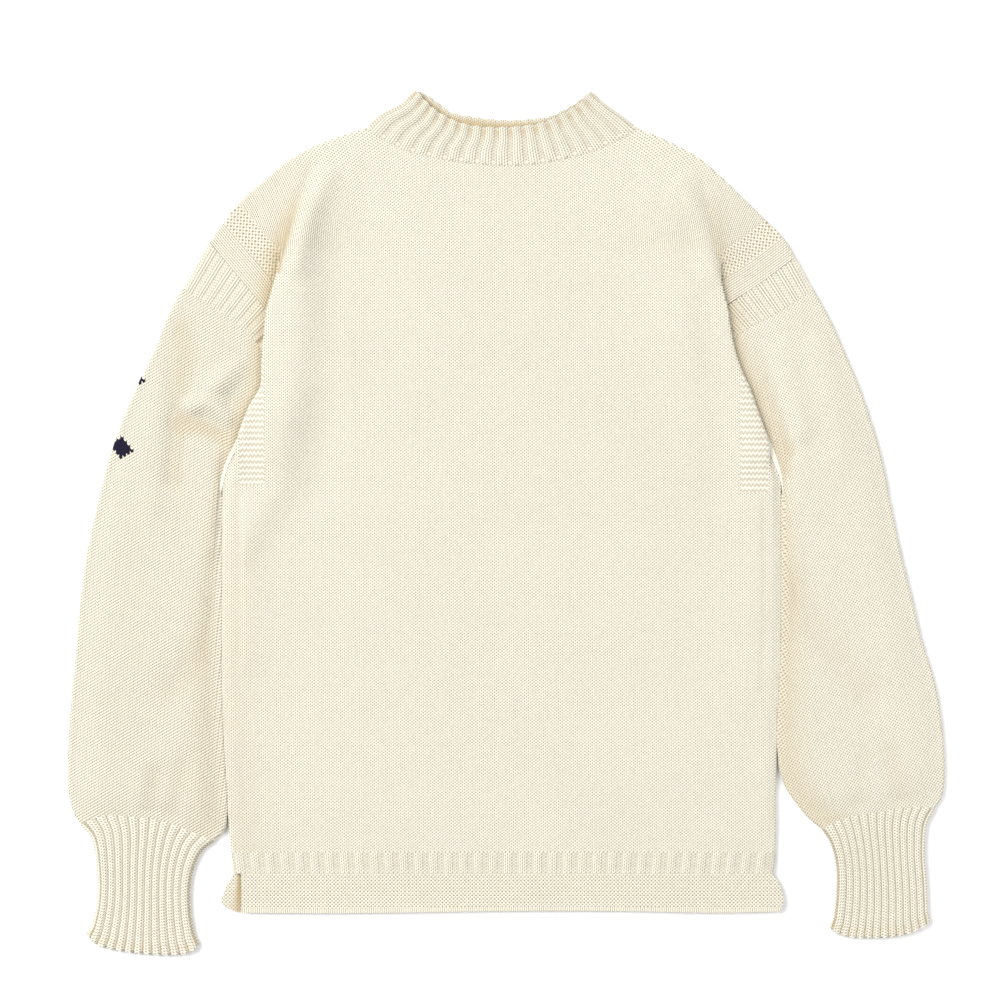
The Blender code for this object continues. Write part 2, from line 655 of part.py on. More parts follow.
def plain_sleeve(body):
    """The sleeve between its ribbed head and its cuff."""
    fronts, backs = sleeve_rings(body)
    for lines in (fronts, backs):
        lines[0] = aside(lines[0], -2 * SEAM_HALF)
        lines[-1] = aside(lines[-1], 2 * SEAM_HALF)
    heights = [sleeve_height(body, row[4]) for row in body["rings"]]
    lean = np.concatenate([np.zeros(len(heights) - 2), (0.2, 1)])
    return true_side(body, tube(fronts, backs, heights, ROLL, lean=lean))


def ribbed_head(body):
    """The ribbed head of a sleeve, between the armhole seam and the plain sleeve. At the underarm,
    where it is narrowest, its front and its back end apart."""
    fronts, backs = sleeve_rings(body)
    ribs, raised = rib_shares(HEAD_RIBS, 0.02, RIBS_END, EVEN_RIB)
    overs, unders = [], []
    for lines, rows, last, shares in (
        (overs, FRONT_ROWS, fronts[0], ribs),
        (unders, BACK_ROWS, backs[0], []),
    ):
        for line in (armhole_line(body, rows), last):
            corners = [s for s in corner_shares(line) if not shares or s > RIBS_END + 0.02]
            lines.append(with_ends(line, shares + corners))
        lines[1][-1] = (lines[1][-2] + lines[1][-1]) / 2
        lines.insert(1, (lines[0] + lines[1]) / 2)
    radius = ROLL - HALF_WALL
    starts = np.array([line[0] for line in overs])
    start_in = inward(starts, np.array([line[-1] for line in overs]))
    rows = []
    for k, (over, under) in enumerate(zip(overs, unders)):
        edge = starts[k] + start_in[k] * HALF_WALL
        rounded = edge + ROUND_IN * radius * start_in[k]
        flat = edge + radius * start_in[k]
        rows.append(np.vstack([
            at_height(np.vstack([flat, under[1:]])[::-1], MID - radius),
            at_height([rounded], MID - ROUND_UP * radius),
            at_height([edge], MID),
            at_height([rounded], MID + ROUND_UP * radius),
            at_height(np.vstack([flat, over[1:]]), MID + radius),
        ]))
    grid = np.array(rows)
    weights = rib_weights(grid.shape[1], 3, raised, len(unders[0]) + 4)
    covered = grid[:, :, 0] > table(body["fold"], grid[:, :, 1], 1) - 1
    weights[covered & (grid[:, :, 1] < LEVEL)] = 0
    weights = weights if body["sign"] < 0 else weights[:, ::-1]
    return true_side(body, grid), weights


def ribbed_cuff(body):
    """A cuff, from the sleeve's end to its own."""
    dense = np.linspace(0, 1, 201)
    ribs, raised = rib_shares(CUFF_RIBS, 0.035, 0.965, WIDE_RIB)
    unders = list(np.linspace(0.1, 0.9, 7))
    fronts, backs = sleeve_rings(body)
    fronts = [with_ends(fronts[-1], ribs) - (0, SEAM_HALF)]
    backs = [with_ends(backs[-1], unders) - (0, SEAM_HALF)]
    for share in (0.14, 0.38, 0.69, 1):
        start = along(body["cuff_outer"], [share])[0]
        end = along(body["cuff_inner"], [share])[0]
        line = chord_line(start, end, dense) + share * bow(body["cuff_end"], dense)
        fronts.append(with_ends(line + (1 - share) * bow(body["cuff_start"], dense), ribs))
        backs.append(with_ends(line, unders))
    lean = (1, 0.5, 0, 0, 0)
    grid = tube(fronts, backs, [FRONT - HALF_WALL] * 5, ROLL - HALF_WALL, HALF_WALL, lean)
    weights = rib_weights(grid.shape[1], 5, raised)
    weights = weights if body["sign"] < 0 else weights[:, ::-1]
    return true_side(body, grid), weights


def ribbed_collar():
    """The stand collar, from the neck seam up to its bound edge."""
    dense = np.linspace(0, 1, 201)
    left, right = smooth(COLLAR_SIDE_LEFT), smooth(COLLAR_SIDE_RIGHT)
    seams = []
    for neck, count in ((NECK_FRONT, 6), (NECK_BACK, 3)):
        seams.append(np.vstack([neck[0], neck_points(smooth(neck), count) + (0, SEAM_HALF), neck[-1]]))
    ribs, raised = rib_shares(COLLAR_RIBS, 0.015, 0.985, EVEN_RIB)
    unders = list(np.linspace(0.06, 0.94, 14))
    fronts, backs = [], []
    for share in (1, 0.66, 0.33, 0):
        start = along(left, [share])[0] + (HALF_WALL, 0)
        end = along(right, [share])[0] - (HALF_WALL, 0)
        for lines, shares, seam, top in (
            (fronts, ribs, seams[0], COLLAR_TOP_FRONT),
            (backs, unders, seams[1], COLLAR_TOP_BACK),
        ):
            line = chord_line(start, end, dense)
            line = line + (1 - share) * bow(seam, dense) + share * bow(smooth(top), dense)
            lines.append(with_ends(line + (0, 0.5) if share == 0 else line, shares))
    grid = tube(fronts, backs, [FRONT - HALF_WALL] * 4, ROLL - HALF_WALL, HALF_WALL)
    return grid, rib_weights(grid.shape[1], 4, raised)


# The hem.


def band_columns():
    """Where the hem's ribs rise and fall across the band, and how raised each place is."""
    shares, raised = rib_shares(HEM_RIBS, 0, 1, EVEN_RIB)
    return np.array(shares), np.array(raised, float)


def front_band():
    """The ribbed band: its plain inside, with rolled sides."""
    shares, raised = band_columns()
    rows = []
    left, right = half(-1), half(1)
    for y in (BAND_TOP - SEAM_GAP / 2, BAND_BOTTOM + SEAM_GAP / 2):
        x0 = x_at(left["side"], y) + HALF_WALL
        x1 = -x_at(right["side"], y) - HALF_WALL
        radius = ROLL - HALF_WALL
        inner = x0 + radius + (x1 - x0 - 2 * radius) * shares
        xs = np.concatenate([[x0, x0], inner, [x1, x1]])
        ends = [MID + 0.1, MID + radius * 0.5]
        zs = np.concatenate([ends, np.full(len(inner), FRONT - HALF_WALL), ends[::-1]])
        rows.append(np.column_stack([xs, np.full(len(xs), y), zs]))
    weights = np.concatenate([[0, 0], raised, [0, 0]])
    return grid_of(rows), np.tile(weights, (2, 1))


def back_band():
    """The band behind it, flat on the surface, with its sides rolled up."""
    rows = []
    left, right = half(-1), half(1)
    for y in (BAND_TOP - SEAM_GAP / 2, BAND_BOTTOM + SEAM_GAP / 2):
        x0 = x_at(left["side"], y)
        x1 = -x_at(right["side"], y)
        inner = np.linspace(x0 + ROLL, x1 - ROLL, 10)
        near = [x0 + step for step in ROLL_IN[:3]]
        far = [x1 - step for step in ROLL_IN[2::-1]]
        down = [MID - up for up in ROLL_UP[:3]]
        xs = np.concatenate([near, inner, far])
        zs = np.concatenate([down, np.full(len(inner), BACK), down[::-1]])
        rows.append(np.column_stack([xs, np.full(len(xs), y), zs]))
    return grid_of(rows)


def welt(left, right, end, height, columns, lift=0.0):
    """A flap below the band: its two side edges, its lower edge, and a straight top."""
    left, right, end = smooth(left), smooth(right), smooth(end)
    across = np.linspace(0, 1, columns)
    end_bow = bow(end, across)
    rows = []
    for share in (0, 0.35, 0.7, 0.88, 1):
        start = along(left, [share])[0]
        stop = along(right, [share])[0]
        line = chord_line(start, stop, across) + share * end_bow
        rows.append(at_height(line, height + lift * ease((share - 0.6) / 0.4)))
    return grid_of(rows)


# Meshes.


def material(name, colour):
    made = bpy.data.materials.new(name)
    made.use_nodes = True
    shader = made.node_tree.nodes["Principled BSDF"]
    shader.inputs["Base Color"].default_value = colour
    shader.inputs["Roughness"].default_value = 0.9
    shader.inputs["Metallic"].default_value = 0.0
    return made


def sheet_object(name, grid, closed, colour):
    """An open surface over a grid of points, with its front side up or out."""
    rows, columns = grid.shape[:2]
    faces = []
    for r in range(rows - 1):
        for c in range(columns if closed else columns - 1):
            d = (c + 1) % columns
            faces.append((r * columns + c, (r + 1) * columns + c, (r + 1) * columns + d, r * columns + d))
    mesh = bpy.data.meshes.new(name)
    mesh.from_pydata((grid.reshape(-1, 3) * MM).tolist(), [], faces)
    mesh.validate()
    mesh.shade_smooth()
    made = bpy.data.objects.new(name, mesh)
    sweater.objects.link(made)
    made.data.materials.append(material(name, CLOTH_COLOURS[colour]))
    return made


def cloth(name, grid, closed=False, colour="plain"):
    """A wall of even thickness about a sheet."""
    made = sheet_object(name, grid, closed, colour)
    wall = made.modifiers.new("wall", "SOLIDIFY")
    wall.thickness = WALL * MM
    wall.offset = 0
    return made


def ribbed(name, grid, raised, thickness, closed=False):
    """A wall that stands on its plain inside, thick on the ribs and thin between them."""
    made = sheet_object(name, grid, closed, "rib")
    flat = grid[:, :, 2] <= MID
    plain = (WALL - RIB_VALLEY) / (thickness - RIB_VALLEY)
    weights = np.where(flat, plain, raised)
    group = made.vertex_groups.new(name="rib")
    for index, weight in enumerate(weights.reshape(-1)):
        group.add([index], float(weight), "REPLACE")
    wall = made.modifiers.new("wall", "SOLIDIFY")
    wall.thickness = thickness * MM
    wall.offset = 1
    wall.vertex_group = "rib"
    wall.thickness_vertex_group = RIB_VALLEY / thickness
    return made


for old in list(bpy.data.objects):
    bpy.data.objects.remove(old, do_unlink=True)
sweater = bpy.data.collections.new("guernsey_sweater")
bpy.context.scene.collection.children.link(sweater)

cloth("front", front_grid())
cloth("back", back_grid())
ribbed("collar", *ribbed_collar(), COLLAR_RIB, closed=True)
for side, sign in (("left", -1), ("right", 1)):
    body = half(sign)
    ribbed(f"sleeve_head_rib_{side}", *ribbed_head(body), HEAD_RIB)
    cloth(f"sleeve_{side}", plain_sleeve(body), closed=True)
    ribbed(f"cuff_{side}", *ribbed_cuff(body), CUFF_RIB, closed=True)
ribbed("front_rib_band", *front_band(), HEM_RIB)
cloth("back_rib_band", back_band(), colour="rib")
flap = welt(FRONT_WELT_LEFT, FRONT_WELT_RIGHT, FRONT_WELT_END, FRONT, 16, BODY_LIFT)
cloth("front_welt", flap, colour="welt")
flap = welt(BACK_WELT_LEFT, BACK_WELT_RIGHT, BACK_WELT_END, BACK, 10)
cloth("back_welt", flap, colour="welt")
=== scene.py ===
# %% [markdown]
# # A guernsey fisherman sweater, laid flat
# A guernsey is a seaman's sweater knitted in thick, tightly twisted wool. The front and back are
# plain knit with a band of moss stitch beside each armhole, the shoulders drop over the upper arms,
# and the collar, cuffs, sleeve heads and the band above the split hem are ribbed.
#
# The sweater lies on its back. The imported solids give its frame: each knitted piece below follows
# one of them, with finer creases, rounder ribs and stitches, and takes its place in the picture.

import bpy
import numpy as np
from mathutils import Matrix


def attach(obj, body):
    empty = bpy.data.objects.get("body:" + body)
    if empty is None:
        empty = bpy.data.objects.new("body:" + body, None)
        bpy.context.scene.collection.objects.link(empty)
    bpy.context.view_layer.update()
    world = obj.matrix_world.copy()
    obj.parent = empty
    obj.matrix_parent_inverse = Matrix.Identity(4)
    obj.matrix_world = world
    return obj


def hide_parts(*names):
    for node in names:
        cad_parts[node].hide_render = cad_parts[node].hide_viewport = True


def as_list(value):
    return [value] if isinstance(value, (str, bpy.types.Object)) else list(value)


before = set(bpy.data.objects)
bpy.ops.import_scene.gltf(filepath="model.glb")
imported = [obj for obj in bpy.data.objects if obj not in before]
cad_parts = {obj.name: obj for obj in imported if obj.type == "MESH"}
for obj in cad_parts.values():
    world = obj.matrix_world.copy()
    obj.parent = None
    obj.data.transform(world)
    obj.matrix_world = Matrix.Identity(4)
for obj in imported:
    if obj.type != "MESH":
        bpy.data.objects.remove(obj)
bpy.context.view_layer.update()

print("solids:", sorted(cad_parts))

# %% [markdown]
# ## Sizes
# The sizes are those of the solids, in millimetres. Every piece is a wall of cloth. The back layer
# lies on the surface and the front layer lies on it, so the height of the middle of each layer
# follows from the thickness of the cloth. A maker would measure the same things with a tape.

# %% Thickness, layers and ribs
MM = 0.001
WALL = 2.2  # thickness of the cloth
LAYER = 3.2  # from the middle of one layer to the middle of the layer on it
SEAM_GAP = 0.3
SEAM_HALF = 0.2
RIGHT_DROP = 15  # the right armhole's rows start this much lower than the left one's
HALF_WALL = WALL / 2
BACK = HALF_WALL
FRONT = BACK + LAYER
ROLL = LAYER / 2
MID = BACK + ROLL
PRESSED = 0.85  # the layers of the fold are pressed this much together
FOLD_RISE = 2 * PRESSED * LAYER

COLLAR_RIBS = 16
CUFF_RIBS = 11
HEM_RIBS = 36
HEAD_RIBS = 8
RIBS_END = 0.35  # share of the armhole seam that the sleeve head's ribs take up
RIB_VALLEY = 2.0
SEAM_LIFT = 0.25  # a ribbed edge lies this much above the plain cloth it is joined to
HEAD_RIB = 3.0
HEM_RIB = 2.9
COLLAR_RIB = 3.3
CUFF_RIB = 3.1

# %% [markdown]
# ## Outlines
# A garment is drawn the way a pattern cutter draws it: as lines through a few measured points. Each
# table below is one such line, seen from above, with x across the body and y from the hem to the
# collar. The left side is the one with the lower x.

# %% Shoulders, armholes, sides and folds
SHOULDER_LEFT = (
    (-267, 253), (-253, 272.5), (-238, 290.5), (-218, 308.5), (-196, 326.5), (-178, 337), (-160, 344.5),
    (-145, 350), (-126, 355),
)
SHOULDER_RIGHT = (
    (260, 239), (251, 255), (234, 272.5), (215.5, 290.5), (197, 308.5), (176.5, 326.5), (160, 337),
    (144, 344.5), (133, 350), (118, 355),
)
ARMHOLE_LEFT = (
    (-267, 253), (-240, 221), (-215, 191), (-196, 170), (-188, 156), (-190, 140), (-201, 123),
    (-216, 100), (-229, 82), (-238, 70), (-246, 60), (-250, 52), (-253, 42), (-255.4, 30),
)
ARMHOLE_RIGHT = (
    (260, 239), (229, 216), (199, 196), (186, 184), (181, 171), (185, 154), (199, 134),
    (213, 115), (223, 97), (230, 79), (238, 61), (243, 49), (246, 41), (248.1, 30),
)
SIDE_LEFT = (
    (-255.4, 28), (-256, 10), (-256, -60), (-256, -159), (-254, -204), (-251, -249), (-248.5, -285),
    (-244.8, -315),
)
SIDE_RIGHT = (
    (248, 28), (248, 10), (249, -60), (248, -114), (246, -159), (243.5, -204), (243, -280), (242, -300),
    (240, -315),
)

# The Z fold at each armhole: height, x of the fold's edge, and how far the cloth under it goes in.
FOLD_LEFT = (
    (235, -204.5, 2), (215, -209, 8), (191, -215.5, 18), (160, -219, 32), (142, -220, 30.5),
    (123, -221, 25), (103, -232, 18), (82, -240, 10.6), (70, -244.5, 7), (58, -249, 3), (50, -250.5, 2),
)
FOLD_RIGHT = (
    (235, 192, 3), (214, 194, 9), (196, 199, 18), (176, 202, 24), (160, 205, 26),
    (142, 210, 22), (118, 221, 15), (97, 228, 12), (82, 233.5, 9), (61, 242, 4), (50, 246, 2),
)
FOLD_TOP_LEFT = (-173, 332)  # where the fold fades out, on the shoulder
FOLD_TOP_RIGHT = (175, 321)
FOLD_FULL = 78  # lowest height at which the fold is complete
FOLD_GONE = 32  # height at which it has opened into the rolled side

# %% Sleeves and cuffs
# Where each ribbed sleeve head ends and the plain sleeve begins.
HEAD_END_LEFT = (
    (-290, 211), (-253, 188), (-223, 162), (-216, 148), (-216, 129), (-225, 106),
    (-236, 86), (-246, 68), (-253.5, 51), (-256.6, 38), (-257.3, 24),
)
HEAD_END_RIGHT = (
    (279, 210), (242, 187), (213, 172), (202, 160), (202, 147), (211, 128),
    (224, 108), (233, 88), (241, 68), (246.4, 51), (249.3, 38), (250, 24),
)

# Outlines of the sleeves and cuffs.
SLEEVE_OUTER_LEFT = (
    (-267, 253), (-283, 228), (-297, 201), (-310, 174), (-320, 147), (-334, 120), (-345, 93), (-355, 66),
    (-369, 12), (-380, -42), (-388, -123), (-393, -177), (-394.5, -231), (-393, -250), (-390, -260),
    (-383, -271),
)
SLEEVE_OUTER_RIGHT = (
    (260, 239), (272, 218.5), (289, 189), (302, 160), (314, 133), (324, 106), (340, 52), (350, -2),
    (366, -69), (379, -123), (388, -150), (392, -177), (395, -220), (393.5, -242), (391, -250), (386, -256.5),
)
SLEEVE_INNER_LEFT = ((-254.8, -204), (-252, -245), (-251.3, -262), (-252, -273), (-256, -281), (-263, -286))
SLEEVE_INNER_RIGHT = (
    (244.5, -204), (246.6, -225), (250, -235), (254, -242), (264.5, -256.5), (271, -264), (285, -276),
)

# Rings of a sleeve: height on its outer edge, height on its inner edge, how much of the sleeve head's
# curve and of the cuff seam's curve the ring keeps, and how far the front stands off the back.
SLEEVE_RINGS_LEFT = (
    (211, 24, 1, 0, 0), (182, 12, 0.3, 0, 0.8), (153, 0, 0.22, 0, 1.6), (122, -15, 0.16, 0, 2.2),
    (88, -33, 0.12, 0, 2.2), (52, -54, 0.08, 0, 2), (12, -81, 0.05, 0, 2), (-28, -112, 0.03, 0, 2.2),
    (-70, -145, 0.02, 0, 2.2), (-112, -175, 0, 0, 2.4), (-152, -202, 0, 0, 2.6), (-190, -226, 0, 0, 3),
    (-222, -247, 0, 0.2, 3.2), (-246, -262, 0, 0.5, 2.8), (-261, -275, 0, 0.85, 1.4),
    (-270.3, -285.6, 0, 1, 0),
)
SLEEVE_RINGS_RIGHT = (
    (210, 24, 1, 0, 0), (182, 12, 0.3, 0, 0.8), (154, 0, 0.22, 0, 1.6), (123, -15, 0.16, 0, 2.2),
    (90, -33, 0.12, 0, 2.2), (56, -54, 0.08, 0, 2), (16, -81, 0.05, 0, 2), (-24, -112, 0.03, 0, 2.2),
    (-66, -144, 0.02, 0, 2.2), (-106, -174, 0, 0, 2.4), (-144, -200, 0, 0, 2.6), (-180, -222, 0, 0, 3),
    (-210, -240, 0, 0.2, 3.2), (-234, -253, 0, 0.5, 2.8), (-248, -264, 0, 0.85, 1.4), (-256, -275.6, 0, 1, 0),
)
CUFF_START_LEFT = (
    (-383, -271), (-370, -266), (-356, -263.5), (-338, -265), (-319, -267), (-305, -270), (-290, -275.5),
    (-276, -281), (-263, -286),
)
CUFF_START_RIGHT = (
    (285, -276), (297, -269), (310, -265), (327, -262), (357, -257.5), (372, -256), (386, -256.5),
)
CUFF_END_LEFT = (
    (-375.5, -372), (-368, -379), (-346, -384.5), (-325, -387), (-303, -388), (-286, -386), (-278, -380),
)
CUFF_END_RIGHT = ((293.4, -366), (307, -371.5), (328, -372.5), (350, -371.5), (366, -367.5), (380, -360))
CUFF_OUTER_LEFT = (
    (-383, -271), (-376, -278), (-371.5, -290), (-369, -308), (-369, -345), (-372.5, -358), (-375.5, -372),
)
CUFF_INNER_LEFT = (
    (-263, -286), (-271, -292.5), (-276.5, -300), (-280.5, -308), (-283, -325), (-283, -360), (-281.5, -371),
    (-278, -380),
)
CUFF_OUTER_RIGHT = (
    (386, -256.5), (381, -265), (378, -275), (377, -292), (378.5, -315), (379.5, -345), (380, -360),
)
CUFF_INNER_RIGHT = (
    (285, -276), (291, -286), (295, -299), (297, -310), (297, -335), (295, -350), (293.4, -366),
)

# %% Collar, hem, rows and soft ridges
# The collar: the seam round the neck, its two rolled sides, and its top edges.
NECK_FRONT = (
    (-126, 355), (-110, 344), (-85, 334), (-59, 328), (-29, 324), (3, 322), (32, 324), (56, 329), (83, 337),
    (104, 346), (118, 355),
)
NECK_BACK = ((-126, 355), (-95, 343), (-59, 334), (-5, 329), (49, 334), (89, 343), (118, 355))
COLLAR_SIDE_LEFT = (
    (-126, 355), (-120.5, 361), (-114, 366.5), (-107, 371), (-94, 377), (-87, 382.5), (-82, 389),
)
COLLAR_SIDE_RIGHT = ((118, 355), (110.5, 361), (104.5, 366.5), (97, 372), (88, 378), (82, 383), (77, 388))
COLLAR_TOP_FRONT = (
    (-82, 389), (-67, 374), (-51, 364), (-33, 358), (-3, 356), (32, 360), (49, 367), (67, 378), (77, 388),
)
COLLAR_TOP_BACK = (
    (-82, 389), (-75, 387), (-60, 377), (-50, 370), (-31, 366), (-3, 363), (25, 364), (41, 366.5),
    (52, 371.5), (62, 377), (77, 388),
)

# The hem: height of each line, and the outlines of the two split flaps below the ribbed band.
BAND_TOP = -296
BAND_BOTTOM = -315
FRONT_WELT_LEFT = ((-238.5, -315.3), (-238, -330), (-238, -350.5))
FRONT_WELT_RIGHT = (
    (240, -315.3), (244.8, -321.3), (247, -328.5), (249.3, -336), (249.5, -343), (246, -349.5),
)
FRONT_WELT_END = (
    (-238, -350.5), (-170, -351), (-100, -350.5), (0, -349), (100, -349), (190, -350.5), (246, -349.5),
)
BACK_WELT_LEFT = ((-244, -315.3), (-247, -321.3), (-252.5, -328.5), (-255, -336), (-257, -342), (-244, -350))
BACK_WELT_RIGHT = ((238, -315.3), (241, -326), (244, -340), (241, -348))
BACK_WELT_END = ((-244, -350), (-100, -350.5), (0, -349.5), (120, -349.5), (241, -348))

# Heights of the front's rows below the shoulders, and which of them the back has too.
LEVEL = 235
FRONT_ROWS = (
    LEVEL, 221, 207, 191, 174, 157, 140, 123, 103, 82, 70, 60, 52, 43, 34,
    27.5, 10, -25, -75, -130, -185, -235, -272, BAND_TOP + SEAM_GAP / 2,
)
BACK_ROWS = (LEVEL, 191, 157, 123, 82, 52, 34, 27.5, 10, -75, -185, BAND_TOP + SEAM_GAP / 2)
UNDERARM = 30  # height of the underarm points
BACK_COLUMN = -115  # x of the back's first column below the neck

# How far the top sheet stands above the flat front beside each rolled side, by height.
SIDE_RISE = (
    (-296, 0), (-272, 0.9), (-160, 1.2), (-60, 1.6), (10, 2.2), (34, 2.9), (43, 3.5), (52, 4.2),
    (60, 4.8), (78, FOLD_RISE),
)
BODY_LIFT = 0.5

# Soft ridges of the front and the sleeves: points, half width, height and drag.
RIDGES = (
    (((-60, 300), (-20, 60)), 40, 0.6, 0),
    (((90, 290), (120, 40)), 35, 0.6, 0),
    (((-120, -80), (60, -130)), 30, 0.5, 0),
    (((-30, -200), (150, -230)), 35, 0.5, 0),
    (((-290, 175), (-275, 118)), 16, 1.3, 0),
    (((-352, 40), (-360, -120)), 22, 0.8, 0),
    (((-275, -60), (-280, -170)), 18, 0.7, 0),
    (((-330, -225), (-322, -255)), 9, 1.0, 0),
    (((268, 150), (262, 80)), 14, 1.2, 0),
    (((330, 40), (352, -110)), 22, 0.8, 0),
    (((280, -40), (272, -160)), 18, 0.7, 0),
    (((352, -215), (356, -242)), 9, 1.0, 0),
)

# %% [markdown]
# ## Curves
# A cubic curve through the points of a table gives the drawn line its softness. The helpers read a
# point at a share of a line's length, move a line sideways, and measure how far it bows out from
# the straight line between its ends, which is what lets one seam turn into another along a sleeve.

# %% Lines through points
def between(start, end, start_slope, end_slope, span, t):
    """A cubic curve from start to end that sets out and arrives on these slopes, at shares t."""
    return (
        (2 * t**3 - 3 * t**2 + 1) * start
        + (t**3 - 2 * t**2 + t) * span * start_slope
        + (3 * t**2 - 2 * t**3) * end
        + (t**3 - t**2) * span * end_slope
    )


def smooth(points, spacing=1.0):
    """Points about this far apart on a smooth curve through the given ones."""
    p = np.array(points, float)
    knots = np.concatenate([[0], np.cumsum(np.sqrt(np.linalg.norm(np.diff(p, axis=0), axis=1)))])
    slopes = np.gradient(p, knots, axis=0)
    parts = []
    for i in range(len(p) - 1):
        steps = max(2, int(np.linalg.norm(p[i + 1] - p[i]) / spacing))
        t = np.linspace(0, 1, steps, endpoint=False)[:, None]
        parts.append(between(p[i], p[i + 1], slopes[i], slopes[i + 1], knots[i + 1] - knots[i], t))
    return np.vstack([*parts, p[-1:]])


def distances(line):
    """How far along the line each of its points is."""
    return np.concatenate([[0], np.cumsum(np.linalg.norm(np.diff(line, axis=0), axis=1))])


def along(line, shares):
    """The line's points at these shares of its length."""
    at = distances(line)
    wanted = np.asarray(shares) * at[-1]
    return np.column_stack([np.interp(wanted, at, column) for column in line.T])


def x_at(line, y):
    """The line's x at a height. The line runs down or up without turning back."""
    order = np.argsort(line[:, 1])
    return np.interp(y, line[order, 1], line[order, 0])

# %% Lines beside lines, and soft ridges
def aside(line, offset):
    """The line moved to its left, seen from above, by an offset that may differ from point to point."""
    run = np.gradient(line, axis=0)
    run /= np.linalg.norm(run, axis=1)[:, None]
    normal = np.column_stack([-run[:, 1], run[:, 0]])
    return line + normal * np.reshape(offset, (-1, 1))


def bow(line, shares):
    """How far the line departs from its chord, at these shares of its length."""
    shares = np.asarray(shares)[:, None]
    return along(line, shares[:, 0]) - (line[0] * (1 - shares) + line[-1] * shares)


def ease(t):
    t = np.clip(t, 0, 1)
    return t * t * (3 - 2 * t)


def bell(distance, width):
    """One at no distance, and fading away over this width."""
    return np.exp(-((distance / width) ** 2))


def table(rows, y, column=1):
    """A column of a table whose first column is height, read at a height."""
    rows = np.array(sorted(rows), float)
    return np.interp(y, rows[:, 0], rows[:, column])


def at_height(line, height):
    return np.column_stack([line, np.broadcast_to(height, len(line))])


def chord_line(start, end, shares):
    shares = np.asarray(shares)[:, None]
    return np.array(start) * (1 - shares) + np.array(end) * shares


# %% Soft lines on the cloth
def off_segment(x, y, a, b):
    """How far each place is from a straight line between two points, and how far along it."""
    run = b - a
    share = np.clip(((x - a[0]) * run[0] + (y - a[1]) * run[1]) / (run @ run), 0, 1)
    return np.hypot(x - a[0] - share * run[0], y - a[1] - share * run[1]), share


def soft_lines(lines, x, y):
    """Height of soft ridges and troughs at a place, and how far they drag the stitches."""
    height, drag = np.zeros(np.shape(x)), np.zeros(np.shape(x))
    for points, width, rise, pull in lines:
        points = np.array(points, float)
        away = np.min([off_segment(x, y, a, b)[0] for a, b in zip(points, points[1:])], axis=0)
        height += rise * bell(away, width)
        drag += pull * bell(away, width)
    return height, drag

# %% [markdown]
# ## The body
# The front and the back are one outline each. At each armhole the front is folded over itself in a
# Z, because the drop shoulder is wider than the body: the fold takes up the spare cloth. Each half
# is worked out as the left one, row by row from the shoulder to the hem. A row is a cross-section
# of the cloth: along the flat, under the fold, round its inner turn, back, and round its edge.

# %% One half of the body
def half(sign):
    """The outlines of one half of the body, mirrored to the left if it is the right one."""
    left = sign < 0

    def corners(of_left, of_right):
        return of_left if left else tuple((-x, y) for x, y in of_right)

    def line(of_left, of_right, step=1):
        return smooth(of_left if left else corners(of_left, of_right)[::step])

    top = FOLD_TOP_LEFT if left else FOLD_TOP_RIGHT
    return {
        "sign": sign,
        "drop": 0 if left else RIGHT_DROP,
        "shoulder": aside(line(SHOULDER_LEFT, SHOULDER_RIGHT), -HALF_WALL),
        "armhole": line(ARMHOLE_LEFT, ARMHOLE_RIGHT),
        "side": line(SIDE_LEFT, SIDE_RIGHT) + (HALF_WALL, 0),
        "fold": tuple((y, -sign * x, under) for y, x, under in (FOLD_LEFT if left else FOLD_RIGHT)),
        "fold_top": (-sign * top[0], top[1]),
        "head_end": line(HEAD_END_LEFT, HEAD_END_RIGHT),
        "outer": aside(line(SLEEVE_OUTER_LEFT, SLEEVE_OUTER_RIGHT), HALF_WALL),
        "inner": corners(SLEEVE_INNER_LEFT, SLEEVE_INNER_RIGHT),
        "rings": SLEEVE_RINGS_LEFT if left else SLEEVE_RINGS_RIGHT,
        "cuff_start": line(CUFF_START_LEFT, CUFF_START_RIGHT, -1),
        "cuff_end": line(CUFF_END_LEFT, CUFF_END_RIGHT, -1),
        "cuff_outer": line(CUFF_OUTER_LEFT, CUFF_OUTER_RIGHT) + (HALF_WALL, 0),
        "cuff_inner": line(CUFF_INNER_LEFT, CUFF_INNER_RIGHT) - (HALF_WALL, 0),
    }


LEFT, RIGHT = half(-1), half(1)


def row_heights(body, rows):
    """The heights of these rows on this half of the body."""
    rows = np.array(rows, float)
    return rows - body["drop"] * ease((rows - FOLD_FULL) / (LEVEL - FOLD_FULL))


def armhole_points(body, rows, to_body):
    """Corners of the armhole seam in these rows, moved off it to the body's or the sleeve's side."""
    heights = [y for y in row_heights(body, rows) if y > UNDERARM]
    seam = np.vstack([body["armhole"][:1], [(x_at(body["armhole"], y), y) for y in heights]])
    gap = np.full(len(seam), SEAM_HALF)
    gap[0] = 2 * SEAM_HALF
    return aside(seam, gap if to_body else -gap)

# %% Rows with a rolled side or a Z fold
# How far in from a rolled edge each of its points lies, and its height above the level where the
# front and the back meet. The first two stand nearly upright, so the edge of the wall is level.
ROLL_IN = (0, 0.03 * ROLL, 0.34 * ROLL, ROLL)
ROLL_UP = (0.2, 0.5 * ROLL, 0.88 * ROLL, ROLL)
CORNER_UP = (0.6, 0.7 * ROLL, 0.93 * ROLL, ROLL)  # beside a flat edge, where the roll begins
FLAT_IN = (0, 0.5, 1.0, ROLL)
TURN = np.radians((0, 60, 120, 180))


def edge_x(body, rows, y):
    """The x of a panel's edge at a height: the armhole seam, or the side below it."""
    return x_at(armhole_points(body, rows, True) if y > UNDERARM else body["side"], y)


